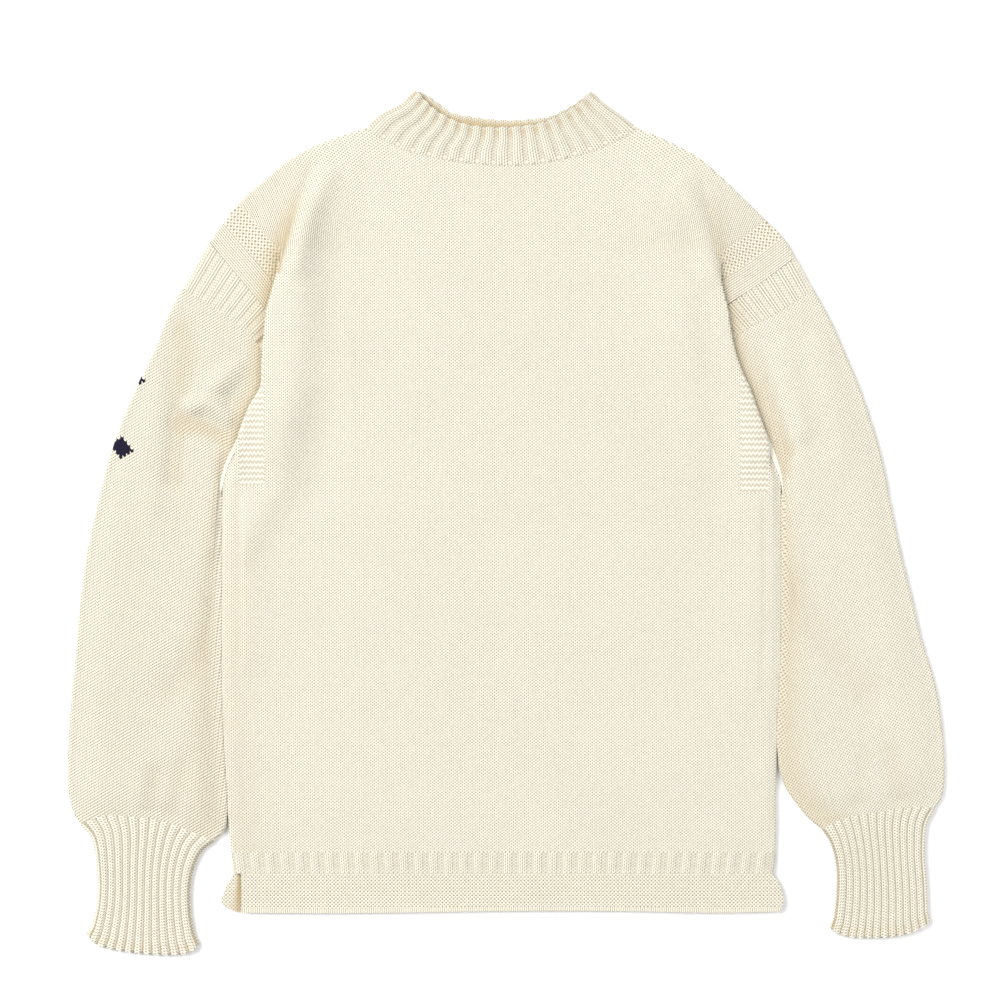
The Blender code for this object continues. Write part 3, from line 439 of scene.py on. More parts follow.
def edge_points(y, x0, over):
    """A panel's four points beside its edge, as x and height. Over is 1 on the front, -1 on the back."""
    if y > UNDERARM:
        return [(x0 + step, MID + over * ROLL) for step in FLAT_IN]
    ups = CORNER_UP if y > UNDERARM - 5 else ROLL_UP
    return [(x0 + step, MID + over * up) for step, up in zip(ROLL_IN, ups)]


def unrolled(y, x0):
    """The front's twelve points beside its edge at a height, with no Z fold, as x and height."""
    spread = ROLL + 16 * (np.arange(1, 9) / 8) ** 1.5
    rise = table(SIDE_RISE, y)
    far = [(x0 + step, FRONT + rise * ease(step / 9)) for step in spread]
    return np.array(edge_points(y, x0, 1) + far)


def folded(body, y, x0):
    """The same points with the Z fold: under it, round its inner turn, back, and round its edge."""
    edge = table(body["fold"], y) + HALF_WALL + ROLL
    turn = edge + table(body["fold"], y, 2)
    near = [(x0 + step, FRONT) for step in FLAT_IN]
    inner = [(turn + ROLL * np.sin(a), ROLL * (1 - np.cos(a))) for a in TURN]
    outer = [(edge - ROLL * np.sin(a), LAYER + ROLL * (1 - np.cos(a))) for a in TURN]
    return np.array(near + [(x, FRONT + PRESSED * up) for x, up in inner + outer])


def front_half_row(body, y):
    """Sixteen points of the front at a height, from its edge inwards, as x, y and height."""
    x0 = edge_x(body, FRONT_ROWS, y)
    share = ease((y - FOLD_GONE) / (FOLD_FULL - FOLD_GONE))
    near = unrolled(y, x0)
    if share > 0:
        near = share * folded(body, y, x0) + (1 - share) * near
    rise = table(SIDE_RISE, y) if y < FOLD_FULL else FOLD_RISE
    reach = np.array((3, 17, 38, 66))
    top_sheet = near[-1, 0] + share * table(body["fold"], y, 2) + reach
    lift = BODY_LIFT * ease((y - BAND_TOP) / 30)
    heights = FRONT + lift + (rise - lift) * (1 - ease((reach - 3) / 63))
    x, z = np.append(near[:, 0], top_sheet), np.append(near[:, 1], heights)
    return np.column_stack([x, np.full(16, y), z])

# %% The shoulder and the neck
def shoulder_points(body):
    """Where the front's sixteen columns start on the shoulder, and which way is in from the edge."""
    line = body["shoulder"]
    at = distances(line)
    fold = at[np.argmin(np.hypot(*(line - body["fold_top"]).T))]
    start = [0, 0.5, 1.0, ROLL]
    spread = list(np.linspace(ROLL, fold, 9)[1:])
    end = [fold + (at[-1] - fold) * share for share in (0.25, 0.6, 1)]
    steps = np.array(start + spread + end)
    points = along(line, steps / at[-1])
    run = along(np.gradient(line, axis=0), steps / at[-1])
    inward = np.column_stack([run[:, 1], -run[:, 0]])
    inward[:4] = body["armhole"][8] - body["armhole"][0]
    inward /= np.linalg.norm(inward, axis=1)[:, None]
    return points, inward

def panel_top(points, inward, neck, over):
    """The first four rows of a panel: rolled at the shoulder, flat at the neck. Over is 1 or -1."""
    rows = []
    for step, fold_in in enumerate(ROLL_IN):
        up = np.full(len(points), ROLL_UP[step])
        up[-1] = CORNER_UP[step]
        shoulder = at_height(points + inward * fold_in, MID + over * up)
        rows.append((shoulder, at_height(neck - (0, FLAT_IN[step]), MID + over * ROLL)))
    return rows


def neck_points(line, count):
    """Points of a panel on the neck seam, between its corners, moved off the seam."""
    at = distances(line)[-1]
    shares = np.concatenate([[2.2 / at], np.linspace(0, 1, count + 2)[1:-1], [1 - 2.2 / at]])
    return along(line, shares) - (0, SEAM_HALF)

# %% The grids of the front and the back
def mirror(row):
    """A row of the right half, worked out on the left, put where it belongs."""
    return row[::-1] * (-1, 1, 1)


def top_rows(neck, over, columns=slice(None)):
    """The first four rows of a panel, from the left armhole past the neck to the right one."""
    halves = []
    for body in (LEFT, RIGHT):
        points, inward = shoulder_points(body)
        halves.append(panel_top(points[columns], inward[columns], neck, over))
    return [np.vstack([a, middle, mirror(b)]) for (a, middle), (b, _) in zip(*halves)]


def front_grid():
    """The front: rows from the shoulders and neck down to the ribbed band."""
    neck = neck_points(smooth(NECK_FRONT), 6)
    rows = top_rows(neck, 1)
    body_rows = []
    for y, right_y in zip(row_heights(LEFT, FRONT_ROWS), row_heights(RIGHT, FRONT_ROWS)):
        a, b = front_half_row(LEFT, y), mirror(front_half_row(RIGHT, right_y))
        middle = chord_line(a[15], b[0], np.linspace(0, 1, len(neck)))
        body_rows.append(np.vstack([a[:15], middle, b[1:]]))
    last, first = rows[-1], body_rows[0]
    for share in (0.18, 0.42, 0.7):
        row = last * (1 - share) + first * share
        row[:, 2] = last[:, 2] + (first[:, 2] - last[:, 2]) * share**1.2
        rows.append(row)
    grid = np.array(rows + body_rows)
    x, y, z = (grid[4:, 11:-11, k] for k in range(3))
    z += ease((y - BAND_TOP) / 30) * soft_lines(RIDGES, x, y)[0]
    return grid


def back_grid():
    """The back: the same outline, flat on the surface, with fewer rows and columns."""
    neck = neck_points(smooth(NECK_BACK), 3)
    grid = top_rows(neck, -1, [0, 1, 2, 3, 8, 12, 14])
    halves = []
    for body in (LEFT, RIGHT):
        rows = []
        for y in row_heights(body, BACK_ROWS):
            x0 = edge_x(body, BACK_ROWS, y)
            near = [(x, y, z) for x, z in edge_points(y, x0, -1)]
            far = [(x0 + (BACK_COLUMN - x0) * share, y, BACK) for share in (0.4, 0.75, 1)]
            rows.append(np.array(near + far))
        halves.append(rows)
    for a, b in zip(*halves):
        b = mirror(b)
        middle = chord_line(a[-1], b[0], np.linspace(0, 1, len(neck) + 2)[1:-1])
        grid.append(np.vstack([a, middle, b]))
    grid.insert(4, grid[3] * 0.5 + grid[4] * 0.5)
    return np.array(grid)

# %% [markdown]
# ## Tubes laid flat
# Sleeves, cuffs and collar are tubes pressed flat. A ring of such a tube is a closed loop over the
# front line and back under it, with a small round turn at each edge.

# %% Rings
# Half way round a rolled edge a ring is this share of the roll's radius in, and this share up or down.
ROUND_IN = 1 - np.sqrt(0.5)
ROUND_UP = np.sqrt(0.5)


def inward(ends, others):
    """At each end of the rings, which way leads from the tube's edge into it."""
    run = np.gradient(ends, axis=0)
    normal = np.column_stack([-run[:, 1], run[:, 0]])
    normal /= np.linalg.norm(normal, axis=1)[:, None]
    side = np.sum(normal * (others - ends), axis=1)
    return normal * np.sign(side)[:, None]


def tube(fronts, backs, heights, radius, inset=0.0, lean=0.0):
    """Rings over pairs of lines that share their ends. The heights are those of the front, a number
    or a function of the place. The inset moves both edges into the tube. The edges roll straight
    inwards, or along the rings by this lean."""
    starts = np.array([line[0] for line in fronts])
    ends = np.array([line[-1] for line in fronts])
    chords = (ends - starts) / np.linalg.norm(ends - starts, axis=1)[:, None]
    lean = np.reshape(np.broadcast_to(lean, len(starts)), (-1, 1))
    start_in = (1 - lean) * inward(starts, ends) + lean * chords
    end_in = (1 - lean) * inward(ends, starts) - lean * chords
    rings = []
    for k, (front, back, height) in enumerate(zip(fronts, backs, heights)):
        start = starts[k] + start_in[k] * inset
        end = ends[k] + end_in[k] * inset
        flat_start, flat_end = start + start_in[k] * radius, end + end_in[k] * radius
        over = np.vstack([flat_start, front[1:-1], flat_end])
        under = np.vstack([flat_start, back[1:-1], flat_end])
        round_start = start + ROUND_IN * radius * start_in[k]
        round_end = end + ROUND_IN * radius * end_in[k]
        high = height(over) if callable(height) else height
        rings.append(np.vstack([
            at_height([start], MID),
            at_height([round_start], MID + ROUND_UP * radius),
            at_height(over, high),
            at_height([round_end], MID + ROUND_UP * radius),
            at_height([end], MID),
            at_height([round_end], MID - ROUND_UP * radius),
            at_height(under[::-1], MID - radius),
            at_height([round_start], MID - ROUND_UP * radius),
        ]))
    return np.array(rings)


def with_ends(line, shares):
    """The line's points at these shares of its length, between its two ends."""
    return np.vstack([line[0], along(line, shares), line[-1]])


def corner_shares(line):
    """The shares at which the line's inner corners lie."""
    return list((distances(line) / distances(line)[-1])[1:-1])

# %% Lines of a sleeve
def sleeve_inner(body):
    """The middle of the sleeve's inner edge: close beside the body, then away from it to the cuff."""
    heights = np.array((28.5, 20, 12, 0, -30, -60, -100, -140, -170, -190))
    beside = np.column_stack([x_at(body["side"], heights) - WALL - SEAM_GAP, heights])
    away = np.array(body["inner"]) - (HALF_WALL, 0)
    return smooth(np.vstack([beside, away]))


def sleeve_lines(body, shares):
    """Each ring's line over the sleeve and under it, from its outer edge to its inner edge."""
    inner = sleeve_inner(body)
    head_bow = bow(body["head_end"], shares)
    cuff_bow = bow(body["cuff_start"], shares)
    fronts, backs = [], []
    for outer_y, inner_y, head_share, cuff_share, _ in body["rings"]:
        start = (x_at(body["outer"], outer_y), outer_y)
        end = (x_at(inner, inner_y), inner_y)
        line = chord_line(start, end, shares) + head_share * head_bow
        fronts.append(line + cuff_share * cuff_bow)
        backs.append(line)
    return fronts, backs


def sleeve_shares(body):
    """Shares for the points of a sleeve's front and back: those under the Z fold match the seam's."""
    front, back = [corner_shares(armhole_line(body, rows)) for rows in (FRONT_ROWS, BACK_ROWS)]
    return list(np.linspace(0.04, RIBS_END, 5)) + [s for s in front if s > RIBS_END + 0.02], back


def armhole_line(body, rows):
    """The armhole seam on the sleeve's side, down to the underarm, as the body's rows cut it."""
    seam = armhole_points(body, rows, False)
    return np.vstack([seam, seam[-1] - (0.8, 4)])


def clear_of_fold(body, x, y, gap, width):
    """Nought under the Z fold, rising to one from this far outside its edge."""
    return np.where(y < UNDERARM, 1, ease((table(body["fold"], y) - x - gap) / width))


def sleeve_height(body, lift):
    """How high the front of a ring stands: it stays low beside the edges and under the Z fold."""

    def height(points):
        x, y = points.T
        from_edge = np.minimum(*[np.linalg.norm(points - points[end], axis=1) for end in (0, -1)])
        soft = soft_lines(RIDGES, x * -body["sign"], y)[0] * ease(from_edge / 20) * min(1, lift / 2)
        return FRONT + (lift * ease(from_edge / 26) + soft) * clear_of_fold(body, x, y, 2, 14)

    return height


def sleeve_rings(body):
    """Lines for the plain sleeve's rings, over and under it, with no gap at either seam. Below the
    first ring, their points keep clear of the inner edge's roll."""
    groups = []
    for lines, shares in zip(sleeve_lines(body, np.linspace(0, 1, 241)), sleeve_shares(body)):
        rings = [with_ends(lines[0], shares)]
        for line in lines[1:]:
            last = 1 - 2 * ROLL / (line[-1, 0] - line[0, 0])
            rings.append(with_ends(line, np.array(shares) * last / shares[-1]))
        groups.append(rings)
    return groups

# %% [markdown]
# ## From a coarse grid to fine cloth
# Each piece starts as a coarse grid of points, like the net of a paper pattern. Blender could
# smooth it with a subdivision surface, but that pulls the outline inwards. A cubic curve through
# the points of every row and column keeps the outline where it was drawn, and the step between the
# new points can follow the size of the stitches.

# %% More rows and columns
def smoothed(grid, size, closed):
    """The grid with more rows, on curves through the ones it has, and each new row's place among them."""
    if closed:
        grid = np.concatenate([grid[-2:], grid, grid[:3]])
    gaps = np.linalg.norm(np.diff(grid, axis=0), axis=2)
    span = np.sqrt(gaps)[..., None] + 1e-4
    step = np.diff(grid, axis=0) / span
    inner = (span[:-1] * step[1:] + span[1:] * step[:-1]) / (span[:-1] + span[1:])
    slopes = np.concatenate([step[:1], inner, step[-1:]])
    first, last = (2, len(grid) - 3) if closed else (0, len(grid) - 1)
    rows, places = [], []
    for k in range(first, last):
        longest = gaps[k].max()
        count = max(1 if longest < 0.7 else 2, int(np.ceil(longest / size)))
        for t in np.arange(count) / count:
            rows.append(between(grid[k], grid[k + 1], slopes[k], slopes[k + 1], span[k], t))
            places.append(k - first + t)
    if not closed:
        rows.append(grid[last])
        places.append(last)
    return np.array(rows), np.array(places)


def refined(grid, size, closed=False, across=True):
    """A fine grid, and the place of each of its rows and columns among the coarse ones."""
    fine, rows = smoothed(grid, size, False)
    columns = np.arange(grid.shape[1], dtype=float)
    if across:
        fine, columns = smoothed(fine.swapaxes(0, 1), size, closed)
        fine = fine.swapaxes(0, 1)
    return fine, rows, columns


def reaching(grid, first=0.0, last=0.0):
    """The grid with its first and last rows moved out by these lengths, to meet the next piece."""
    grid = grid.copy()
    for end, beside, step in ((0, 1, first), (-1, -2, last)):
        out = grid[end] - grid[beside]
        grid[end] += step * out / np.linalg.norm(out, axis=1)[:, None]
    return grid

# %% [markdown]
# ## Soft creases
# Cloth that is laid down by hand keeps troughs and ridges where it was pushed together. A crease
# here is a soft line: it raises or lowers the cloth beside it, and it drags the stitches along, so
# the columns of stitches bend where they cross it.

# %% Creases of the body and the sleeves
BODY_CREASES = (  # points, half width, height, drag
    (((-206, 228), (-197, 262), (-178, 318)), 9, -3.6, 1.5),
    (((-190, 232), (-180, 270), (-162, 312)), 11, 3.6, 0),
    (((-209, 190), (-213, 60)), 11, 1.0, 0),
    (((-152, 262), (-158, 190), (-166, 30)), 18, -1.6, 0),
    (((-182, 285), (-187, 200), (-194, 100), (-206, 30), (-236, -16)), 16, 3.2, 0),
    (((200, 236), (194, 262), (180, 304)), 9, -2.0, -1.5),
    (((184, 226), (176, 268), (160, 302)), 12, 3.2, 0),
    (((209, 180), (222, 60)), 11, 1.8, 0),
    (((170, 258), (182, 190), (194, 30)), 16, -2.2, 0),
    (((-236, 20), (-232, -120)), 12, 0.9, 0),
    (((226, 10), (222, -140)), 12, 0.8, 0),
)
SLEEVE_CREASES = (
    (((-290, 90), (-276, 88), (-264, 83), (-252, 76), (-244, 68)), 8.5, -6.2, 3),
    (((-258, 125), (-244, 137), (-231, 149)), 10, 6.6, 0),
    (((-283, 105), (-270, 109), (-258, 103), (-249, 94)), 7.5, 4.0, 1),
    (((-292, 178), (-290, 150), (-294, 122), (-298, 85), (-299, 40)), 13, -3.6, 1),
    (((-222, 142), (-230, 127), (-240, 110)), 8, -4.4, 0),
    (((-304, 110), (-318, 20)), 14, 1.8, 0),
    (((-250, 76), (-258, 40), (-266, -20)), 14, 2.0, 0),
    (((-240, -60), (-268, -110), (-300, -150)), 16, -1.8, 0),
    (((-322, -268), (-314, -226)), 9, -1.4, 1),
    (((-298, -262), (-290, -216)), 9, -1.2, 1),
    (((214, 176), (224, 150), (231, 124), (240, 98), (252, 66)), 9, -4.4, -2),
    (((247, 156), (256, 124), (266, 84)), 11, 2.6, 0),
    (((284, 155), (300, 60)), 14, 2.0, 0),
    (((262, -60), (290, -110), (322, -150)), 16, -1.6, 0),
    (((358, -254), (348, -206)), 9, -1.6, -1),
    (((318, -256), (322, -214)), 9, -1.0, 0),
)

# %% [markdown]
# ## Stitches as a map
# Hand gauge is counted in stitches across, called wales, and rows, called courses. Every point of
# the cloth gets its place in that count as an attribute of the mesh, so the stitch pattern bends,
# fans out and runs under the folds as the knitting does, and needs no unwrapping.

# %% Gauge
BODY_WALE = 3.38  # width of a stitch
BODY_COURSE = 2.65  # height of a stitch
STRETCHED_WALE = 4.0  # beside the armhole, where the cloth is pulled
MOSS_NEAR, MOSS_FAR = 21, 43.5  # the band of moss stitch, measured from the armhole seam
RIB_COURSE = 2.65
CUFF_COURSE = 2.6
WELT_WALE, WELT_ROW = 3.36, 3.3


def from_line(x, y, line):
    """How far each place is from a line, and how far along the line its nearest point is."""
    at = distances(line)
    best, where = np.full(np.shape(x), 1e9), np.zeros(np.shape(x))
    for k in range(0, len(line) - 1, 4):
        a, b = line[k], line[min(k + 4, len(line) - 1)]
        away, share = off_segment(x, y, a, b)
        where = np.where(away < best, at[k] + share * np.linalg.norm(b - a), where)
        best = np.minimum(best, away)
    return best, where


# %% [markdown]
# On the shoulder the wales lean out towards the armhole. The lean is known at a few places, and a
# smooth surface is fitted whose contour lines lean that way and which meets the straight wales of
# the body below. Its contours are the wales. The courses are found in the same way.

# %% Leaning wales
LEAN_LEFT = (  # x, y and lean in degrees, for a body half with its armhole on the left
    (-212, 277, 33), (-228, 262, 40), (-240, 285, 40), (-185, 309, 25), (-158, 318, 17), (-131, 300, 6),
    (-95, 291, 5), (-185, 264, 5), (-160, 250, 0), (-126, 350, 8), (-195, 245, 2), (-60, 320, 0),
)
LEAN_RIGHT = (
    (-211, 291, 36), (-225, 262, 44), (-175, 309, 25), (-175, 264, 12), (-196, 250, 16), (-139, 291, 4),
    (-157, 250, 0), (-120, 350, 6), (-95, 290, 0), (-60, 320, 0), (-235, 280, 44),
)
TERMS = [(i, j) for i in range(8) for j in range(8) if i + j < 8]


def terms(x, y):
    """The terms of a polynomial over the shoulder, and their slopes across and up."""
    x, y = (np.asarray(x) + 140) / 140, (np.asarray(y) - 295) / 60
    value = np.stack([x**i * y**j for i, j in TERMS], -1)
    across = np.stack([i * x ** max(i - 1, 0) * y**j / 140 for i, j in TERMS], -1)
    up = np.stack([j * x**i * y ** max(j - 1, 0) / 60 for i, j in TERMS], -1)
    return value, across, up


def leaning_counts(leans):
    """Weights of the terms for the wales and for the courses of the shoulder."""
    x, y = (v.ravel() for v in np.meshgrid(np.arange(-265, 0, 9.0), np.arange(LEVEL, 362, 9.0)))
    leans = np.array(leans, float)
    near = 1 / ((x[:, None] - leans[:, 0]) ** 2 + (y[:, None] - leans[:, 1]) ** 2 + 30) ** 2
    lean = np.radians((near * leans[:, 2]).sum(1) / near.sum(1))
    lean = lean * ease((-40 - x) / 60)
    held = (y < LEVEL + 12) & (x > -200) | (x > -55)
    value, across, up = terms(x, y)
    found = []
    for pitch, gx, gy, known in (
        (BODY_WALE, np.cos(lean), np.sin(lean), x / BODY_WALE),
        (BODY_COURSE, -np.sin(lean), np.cos(lean), y / BODY_COURSE),
    ):
        left = np.vstack([across * 6, up * 6, value[held]])
        right = np.concatenate([gx * 6 / pitch, gy * 6 / pitch, known[held]])
        found.append(np.linalg.lstsq(left, right, rcond=None)[0])
    return found

# %% The stitch map of the body
MOSS_LEFT = (-239, -217, 34, 150)  # the lower end of the band: its sides, its foot, and its top
MOSS_RIGHT = (-235.5, -211, 27, 160)


def stacked(grid, across, up, third=0.0):
    """A map over the grid out of two or three parts."""
    return np.stack([np.broadcast_to(part, grid.shape[:2]) for part in (across, up, third)], -1)


def fold_line(body, y):
    """Where the fold's edge lies at a height, also where it fades out towards the shoulder."""
    low, top = body["fold"][0], body["fold_top"]
    fading = np.clip((y - low[0]) / (top[1] - low[0]), 0, 1)
    return table(body["fold"], y) + fading * (top[0] - low[1])


def body_map(grid, columns, drag):
    """Wales, courses and pull of a panel, and the moss stitch band's own count and inside."""
    stitches, moss = np.zeros(grid.shape), np.zeros(grid.shape)
    for body, sides, leans in ((LEFT, MOSS_LEFT, LEAN_LEFT), (RIGHT, MOSS_RIGHT, LEAN_RIGHT)):
        own = columns <= columns.max() / 2
        own = own if body is LEFT else ~own
        from_side = np.minimum(columns, columns.max() - columns)[None, own]
        x, y, z = (grid[:, own, k] for k in range(3))
        x = x * -body["sign"]
        seam = body["armhole"]
        longer = np.vstack([seam[0] + (seam[0] - seam[12]) * 6, seam])
        away, down = from_line(x, y, longer)
        away = np.where(x < x_at(seam, np.clip(y, UNDERARM, None)), 0, away)
        low = body["fold"][0][0]
        value, _, _ = terms(x, y)
        wales, courses = leaning_counts(leans)
        risen = ease((y - low) / 20)
        wale = x / BODY_WALE * (1 - risen) + value @ wales * risen
        course = y / BODY_COURSE * (1 - risen) + value @ courses * risen
        beneath = (from_side < 6) & (y > FOLD_FULL)
        beside = np.where(y > low, away < (MOSS_NEAR + MOSS_FAR) / 2, beneath)
        edge = np.clip(FRONT - z, 0, LAYER) * (from_side < 4) / BODY_WALE
        wale = np.where(beside, away / STRETCHED_WALE, wale) + drag[:, own] / BODY_WALE - edge
        pulled = np.interp(away, (0, MOSS_FAR, MOSS_FAR + 40, MOSS_FAR + 90), (0.9, 0.85, 0.7, 0))
        pulled = np.where(beside, 0.85, pulled * risen)
        on_top = (y < low) & (from_side >= 6) | (y < FOLD_FULL)
        left, right, foot, head = sides
        lower = np.min([x - left, right - x, y - foot, head - y], axis=0)
        over_fold = np.where((from_side >= 6) & (y < low + 30), fold_line(body, y) - x, 9)
        upper = np.min([away - MOSS_NEAR, MOSS_FAR - away, over_fold], axis=0)
        dotted = (upper > -3) & ~on_top
        pulled = np.where(dotted, np.maximum(pulled, 0.85), pulled)
        course = np.where(beside, -down / 2.9, course)
        stitches[:, own] = stacked(x, wale * -body["sign"], course, pulled)
        places = [np.where(on_top, *pair) for pair in ((x / 3.5, away / 4.0), (y / 5.2, down / 4.1))]
        moss[:, own] = stacked(x, *places, np.where(on_top, lower, upper))
    return stitches, moss


# %% [markdown]
# ## Turning a grid into knitted cloth
# The sheet becomes a wall with a Solidify modifier, as felt is cut from a sheet. On the ribbed
# pieces the wall is thicker where a rib stands, so the ribs are real ridges and not only paint.

# %% Mesh, attributes and wall
def cloth_mesh(name, grid, maps, closed, flipped):
    """A mesh over the grid, with its maps stored on its points."""
    rows, columns = grid.shape[:2]
    r, c = np.mgrid[: rows - 1, : columns if closed else columns - 1]
    d = (c + 1) % columns
    faces = np.stack([r * columns + c, (r + 1) * columns + c, (r + 1) * columns + d, r * columns + d], -1)
    faces = faces[..., ::-1] if flipped else faces
    mesh = bpy.data.meshes.new(name)
    mesh.from_pydata((grid.reshape(-1, 3) * MM).tolist(), [], faces.reshape(-1, 4).tolist())
    for label, values in maps.items():
        flat = values.ndim == 2
        attribute = mesh.attributes.new(label, "FLOAT" if flat else "FLOAT_VECTOR", "POINT")
        attribute.data.foreach_set("value" if flat else "vector", values.reshape(-1).astype(np.float32))
    mesh.shade_smooth()
    piece = bpy.data.objects.new(name, mesh)
    bpy.context.scene.collection.objects.link(piece)
    return piece


def set_wall(piece, thickness, raised):
    """Makes the wall part of the mesh, even or as thick as its ribs are raised, with a crisp rim."""
    wall = piece.modifiers.new("wall", "SOLIDIFY")
    wall.thickness = thickness * MM
    wall.offset = 0
    if raised is not None:
        group = piece.vertex_groups.new(name="rib")
        levels = np.round(raised.reshape(-1) * 50) / 50
        for level in np.unique(levels):
            group.add(np.flatnonzero(levels == level).tolist(), float(level), "REPLACE")
        wall.offset = 1
        wall.vertex_group = "rib"
        wall.thickness_vertex_group = RIB_VALLEY / thickness
    whole = piece.evaluated_get(bpy.context.evaluated_depsgraph_get())
    mesh = piece.data = bpy.data.meshes.new_from_object(whole)
    piece.modifiers.clear()
    places = np.empty(len(mesh.vertices) * 3, np.float32)
    mesh.vertices.foreach_get("co", places)
    places[2::3] = np.maximum(places[2::3], 0)  # the surface under the cloth holds it up
    mesh.vertices.foreach_set("co", places)
    mesh.set_sharp_from_angle(angle=np.radians(75))
    # The painted shade stays only on faces that look up.
    if "shelter" in mesh.attributes:  # only the side that looks up is lit by the wool around it
        shelter = mesh.attributes["shelter"].data
        values = np.empty(len(mesh.vertices), np.float32)
        shelter.foreach_get("value", values)
        facing = np.empty(len(places), np.float32)
        mesh.vertex_normals.foreach_get("vector", facing)
        shelter.foreach_set("value", values * (facing[2::3] > 0))


def cut_of(grid, closed):
    """Width and length in metres, and area in square metres, along the cloth itself."""
    grid = np.concatenate([grid, grid[:, :1]], axis=1) * MM if closed else grid * MM
    width = np.linalg.norm(np.diff(grid, axis=1), axis=2).sum(axis=1).max()
    length = np.linalg.norm(np.diff(grid, axis=0), axis=2).sum(axis=0).max()
    turned = np.cross(grid[1:, 1:] - grid[:-1, :-1], grid[1:, :-1] - grid[:-1, 1:])
    return (round(width, 3), round(length, 3)), np.linalg.norm(turned, axis=2).sum() / 2


def knitted(node, finish, grid, maps, right=False, closed=False, flipped=False,
            thickness=WALL, raised=None, rests_on=()):
    """A piece of the sweater with its finish, its place in the frame and the size it was knitted
    to. A right one is worked out on the left and mirrored here."""
    flat, area = cut_of(grid, closed)
    if right:
        grid = grid[:, ::-1] * (-1, 1, 1)
        maps = {label: values[:, ::-1] for label, values in maps.items()}
        raised = raised if raised is None else raised[:, ::-1]
    piece = cloth_mesh(node.replace("_rib", "") + "_cloth", grid, maps, closed, flipped)
    set_wall(piece, thickness, raised)
    piece.data.materials.append(finish)
    area = min(area, flat[0] * flat[1])
    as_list(rests_on)
    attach(piece, "root")
    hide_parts(node)
    print(node, len(piece.data.polygons), "faces, cut", flat, "m, area", round(area, 4), "m2")


# %% [markdown]
# ## Shader groups
# Knitting has two faces. Seen from the knit side each loop is a V of two slanted strands, and from
# the purl side it is a low bump. Both patterns are worked out from the stitch map, once, as node
# groups with named sockets, and every finish on the sweater uses them with its own values.

# %% Small tools for node trees
class Wire:
    """An output of a node. Wires are added, multiplied and so on as numbers are, by new nodes."""

    def __init__(self, tree, socket):
        self.tree, self.socket = tree, socket

    def __add__(self, other):
        return calc("ADD", self, other)

    def __sub__(self, other):
        return calc("SUBTRACT", self, other)

    def __rsub__(self, other):
        return calc("SUBTRACT", other, self)

    def __mul__(self, other):
        return calc("MULTIPLY", self, other)

    def __truediv__(self, other):
        return calc("DIVIDE", self, other)

    def __pow__(self, other):
        return calc("POWER", self, other)

    def __abs__(self):
        return calc("ABSOLUTE", self)


def put(socket, value):
    if isinstance(value, Wire):
        value.tree.links.new(value.socket, socket)
    else:
        socket.default_value = value


def wired(kind, inputs, output=0, **settings):
    """One output of a new node, in the tree of the wires that feed it."""
    tree = next(value.tree for value in inputs.values() if isinstance(value, Wire))
    node = tree.nodes.new(kind)
    for name, value in settings.items():
        setattr(node, name, value)
    for key, value in inputs.items():
        put(node.inputs[key], value)
    return Wire(tree, node.outputs[output])


def calc(operation, *values):
    return wired("ShaderNodeMath", dict(enumerate(values)), operation=operation)


def ramp(value, low, high, to_low=0.0, to_high=1.0):
    """The value eased from one range to another."""
    inputs = dict(enumerate((value, low, high, to_low, to_high)))
    return wired("ShaderNodeMapRange", inputs, interpolation_type="SMOOTHSTEP")


def mix(share, one, other, kind="FLOAT"):
    first, output = {"FLOAT": (2, 0), "RGBA": (6, 2)}[kind]
    return wired("ShaderNodeMix", {0: share, first: one, first + 1: other}, output, data_type=kind)


def split(vector):
    return [wired("ShaderNodeSeparateXYZ", {0: vector}, axis) for axis in range(3)]


def joined(x, y, z=0.0):
    return wired("ShaderNodeCombineXYZ", {0: x, 1: y, 2: z})


def new_group(name, inputs, outputs):
    """An empty group with these sockets, given as name to kind, and its two ends."""
    tree = bpy.data.node_groups.new(name, "ShaderNodeTree")
    for labels, way in ((inputs, "INPUT"), (outputs, "OUTPUT")):
        for label, kind in labels.items():
            tree.interface.new_socket(label, in_out=way, socket_type="NodeSocket" + kind)
    given = tree.nodes.new("NodeGroupInput").outputs
    result = tree.nodes.new("NodeGroupOutput").inputs
    return tree, {label: Wire(tree, given[label]) for label in inputs}, result


def use(group, **values):
    """The outputs of a group by name, placed where the wires that feed it are."""
    tree = next(value.tree for value in values.values() if isinstance(value, Wire))
    node = tree.nodes.new("ShaderNodeGroup")
    node.node_tree = group
    for label, value in values.items():
        put(node.inputs[label.replace("_", " ")], value)
    return {socket.name: Wire(tree, socket) for socket in node.outputs}


# %% [markdown]
# The knit side. A wale is one V wide. Its two strands slope up and out from the middle, and where
# one loop passes through the next there is a small opening, darkened with painted shade. Height,
# opening and a random tone for each strand come out of the group.

# %% The knit side
TURN_ROUND = 6.28318
LABELS = ("Height", "Opening", "Tone")
PATTERN = {label: "Float" for label in LABELS}


def random_tone(cell):
    """A tone from -1 to 1 that is the same all over a strand or a bump."""
    return wired("ShaderNodeTexWhiteNoise", {"Vector": cell}, "Value", noise_dimensions="2D") * 2.0 - 1.0


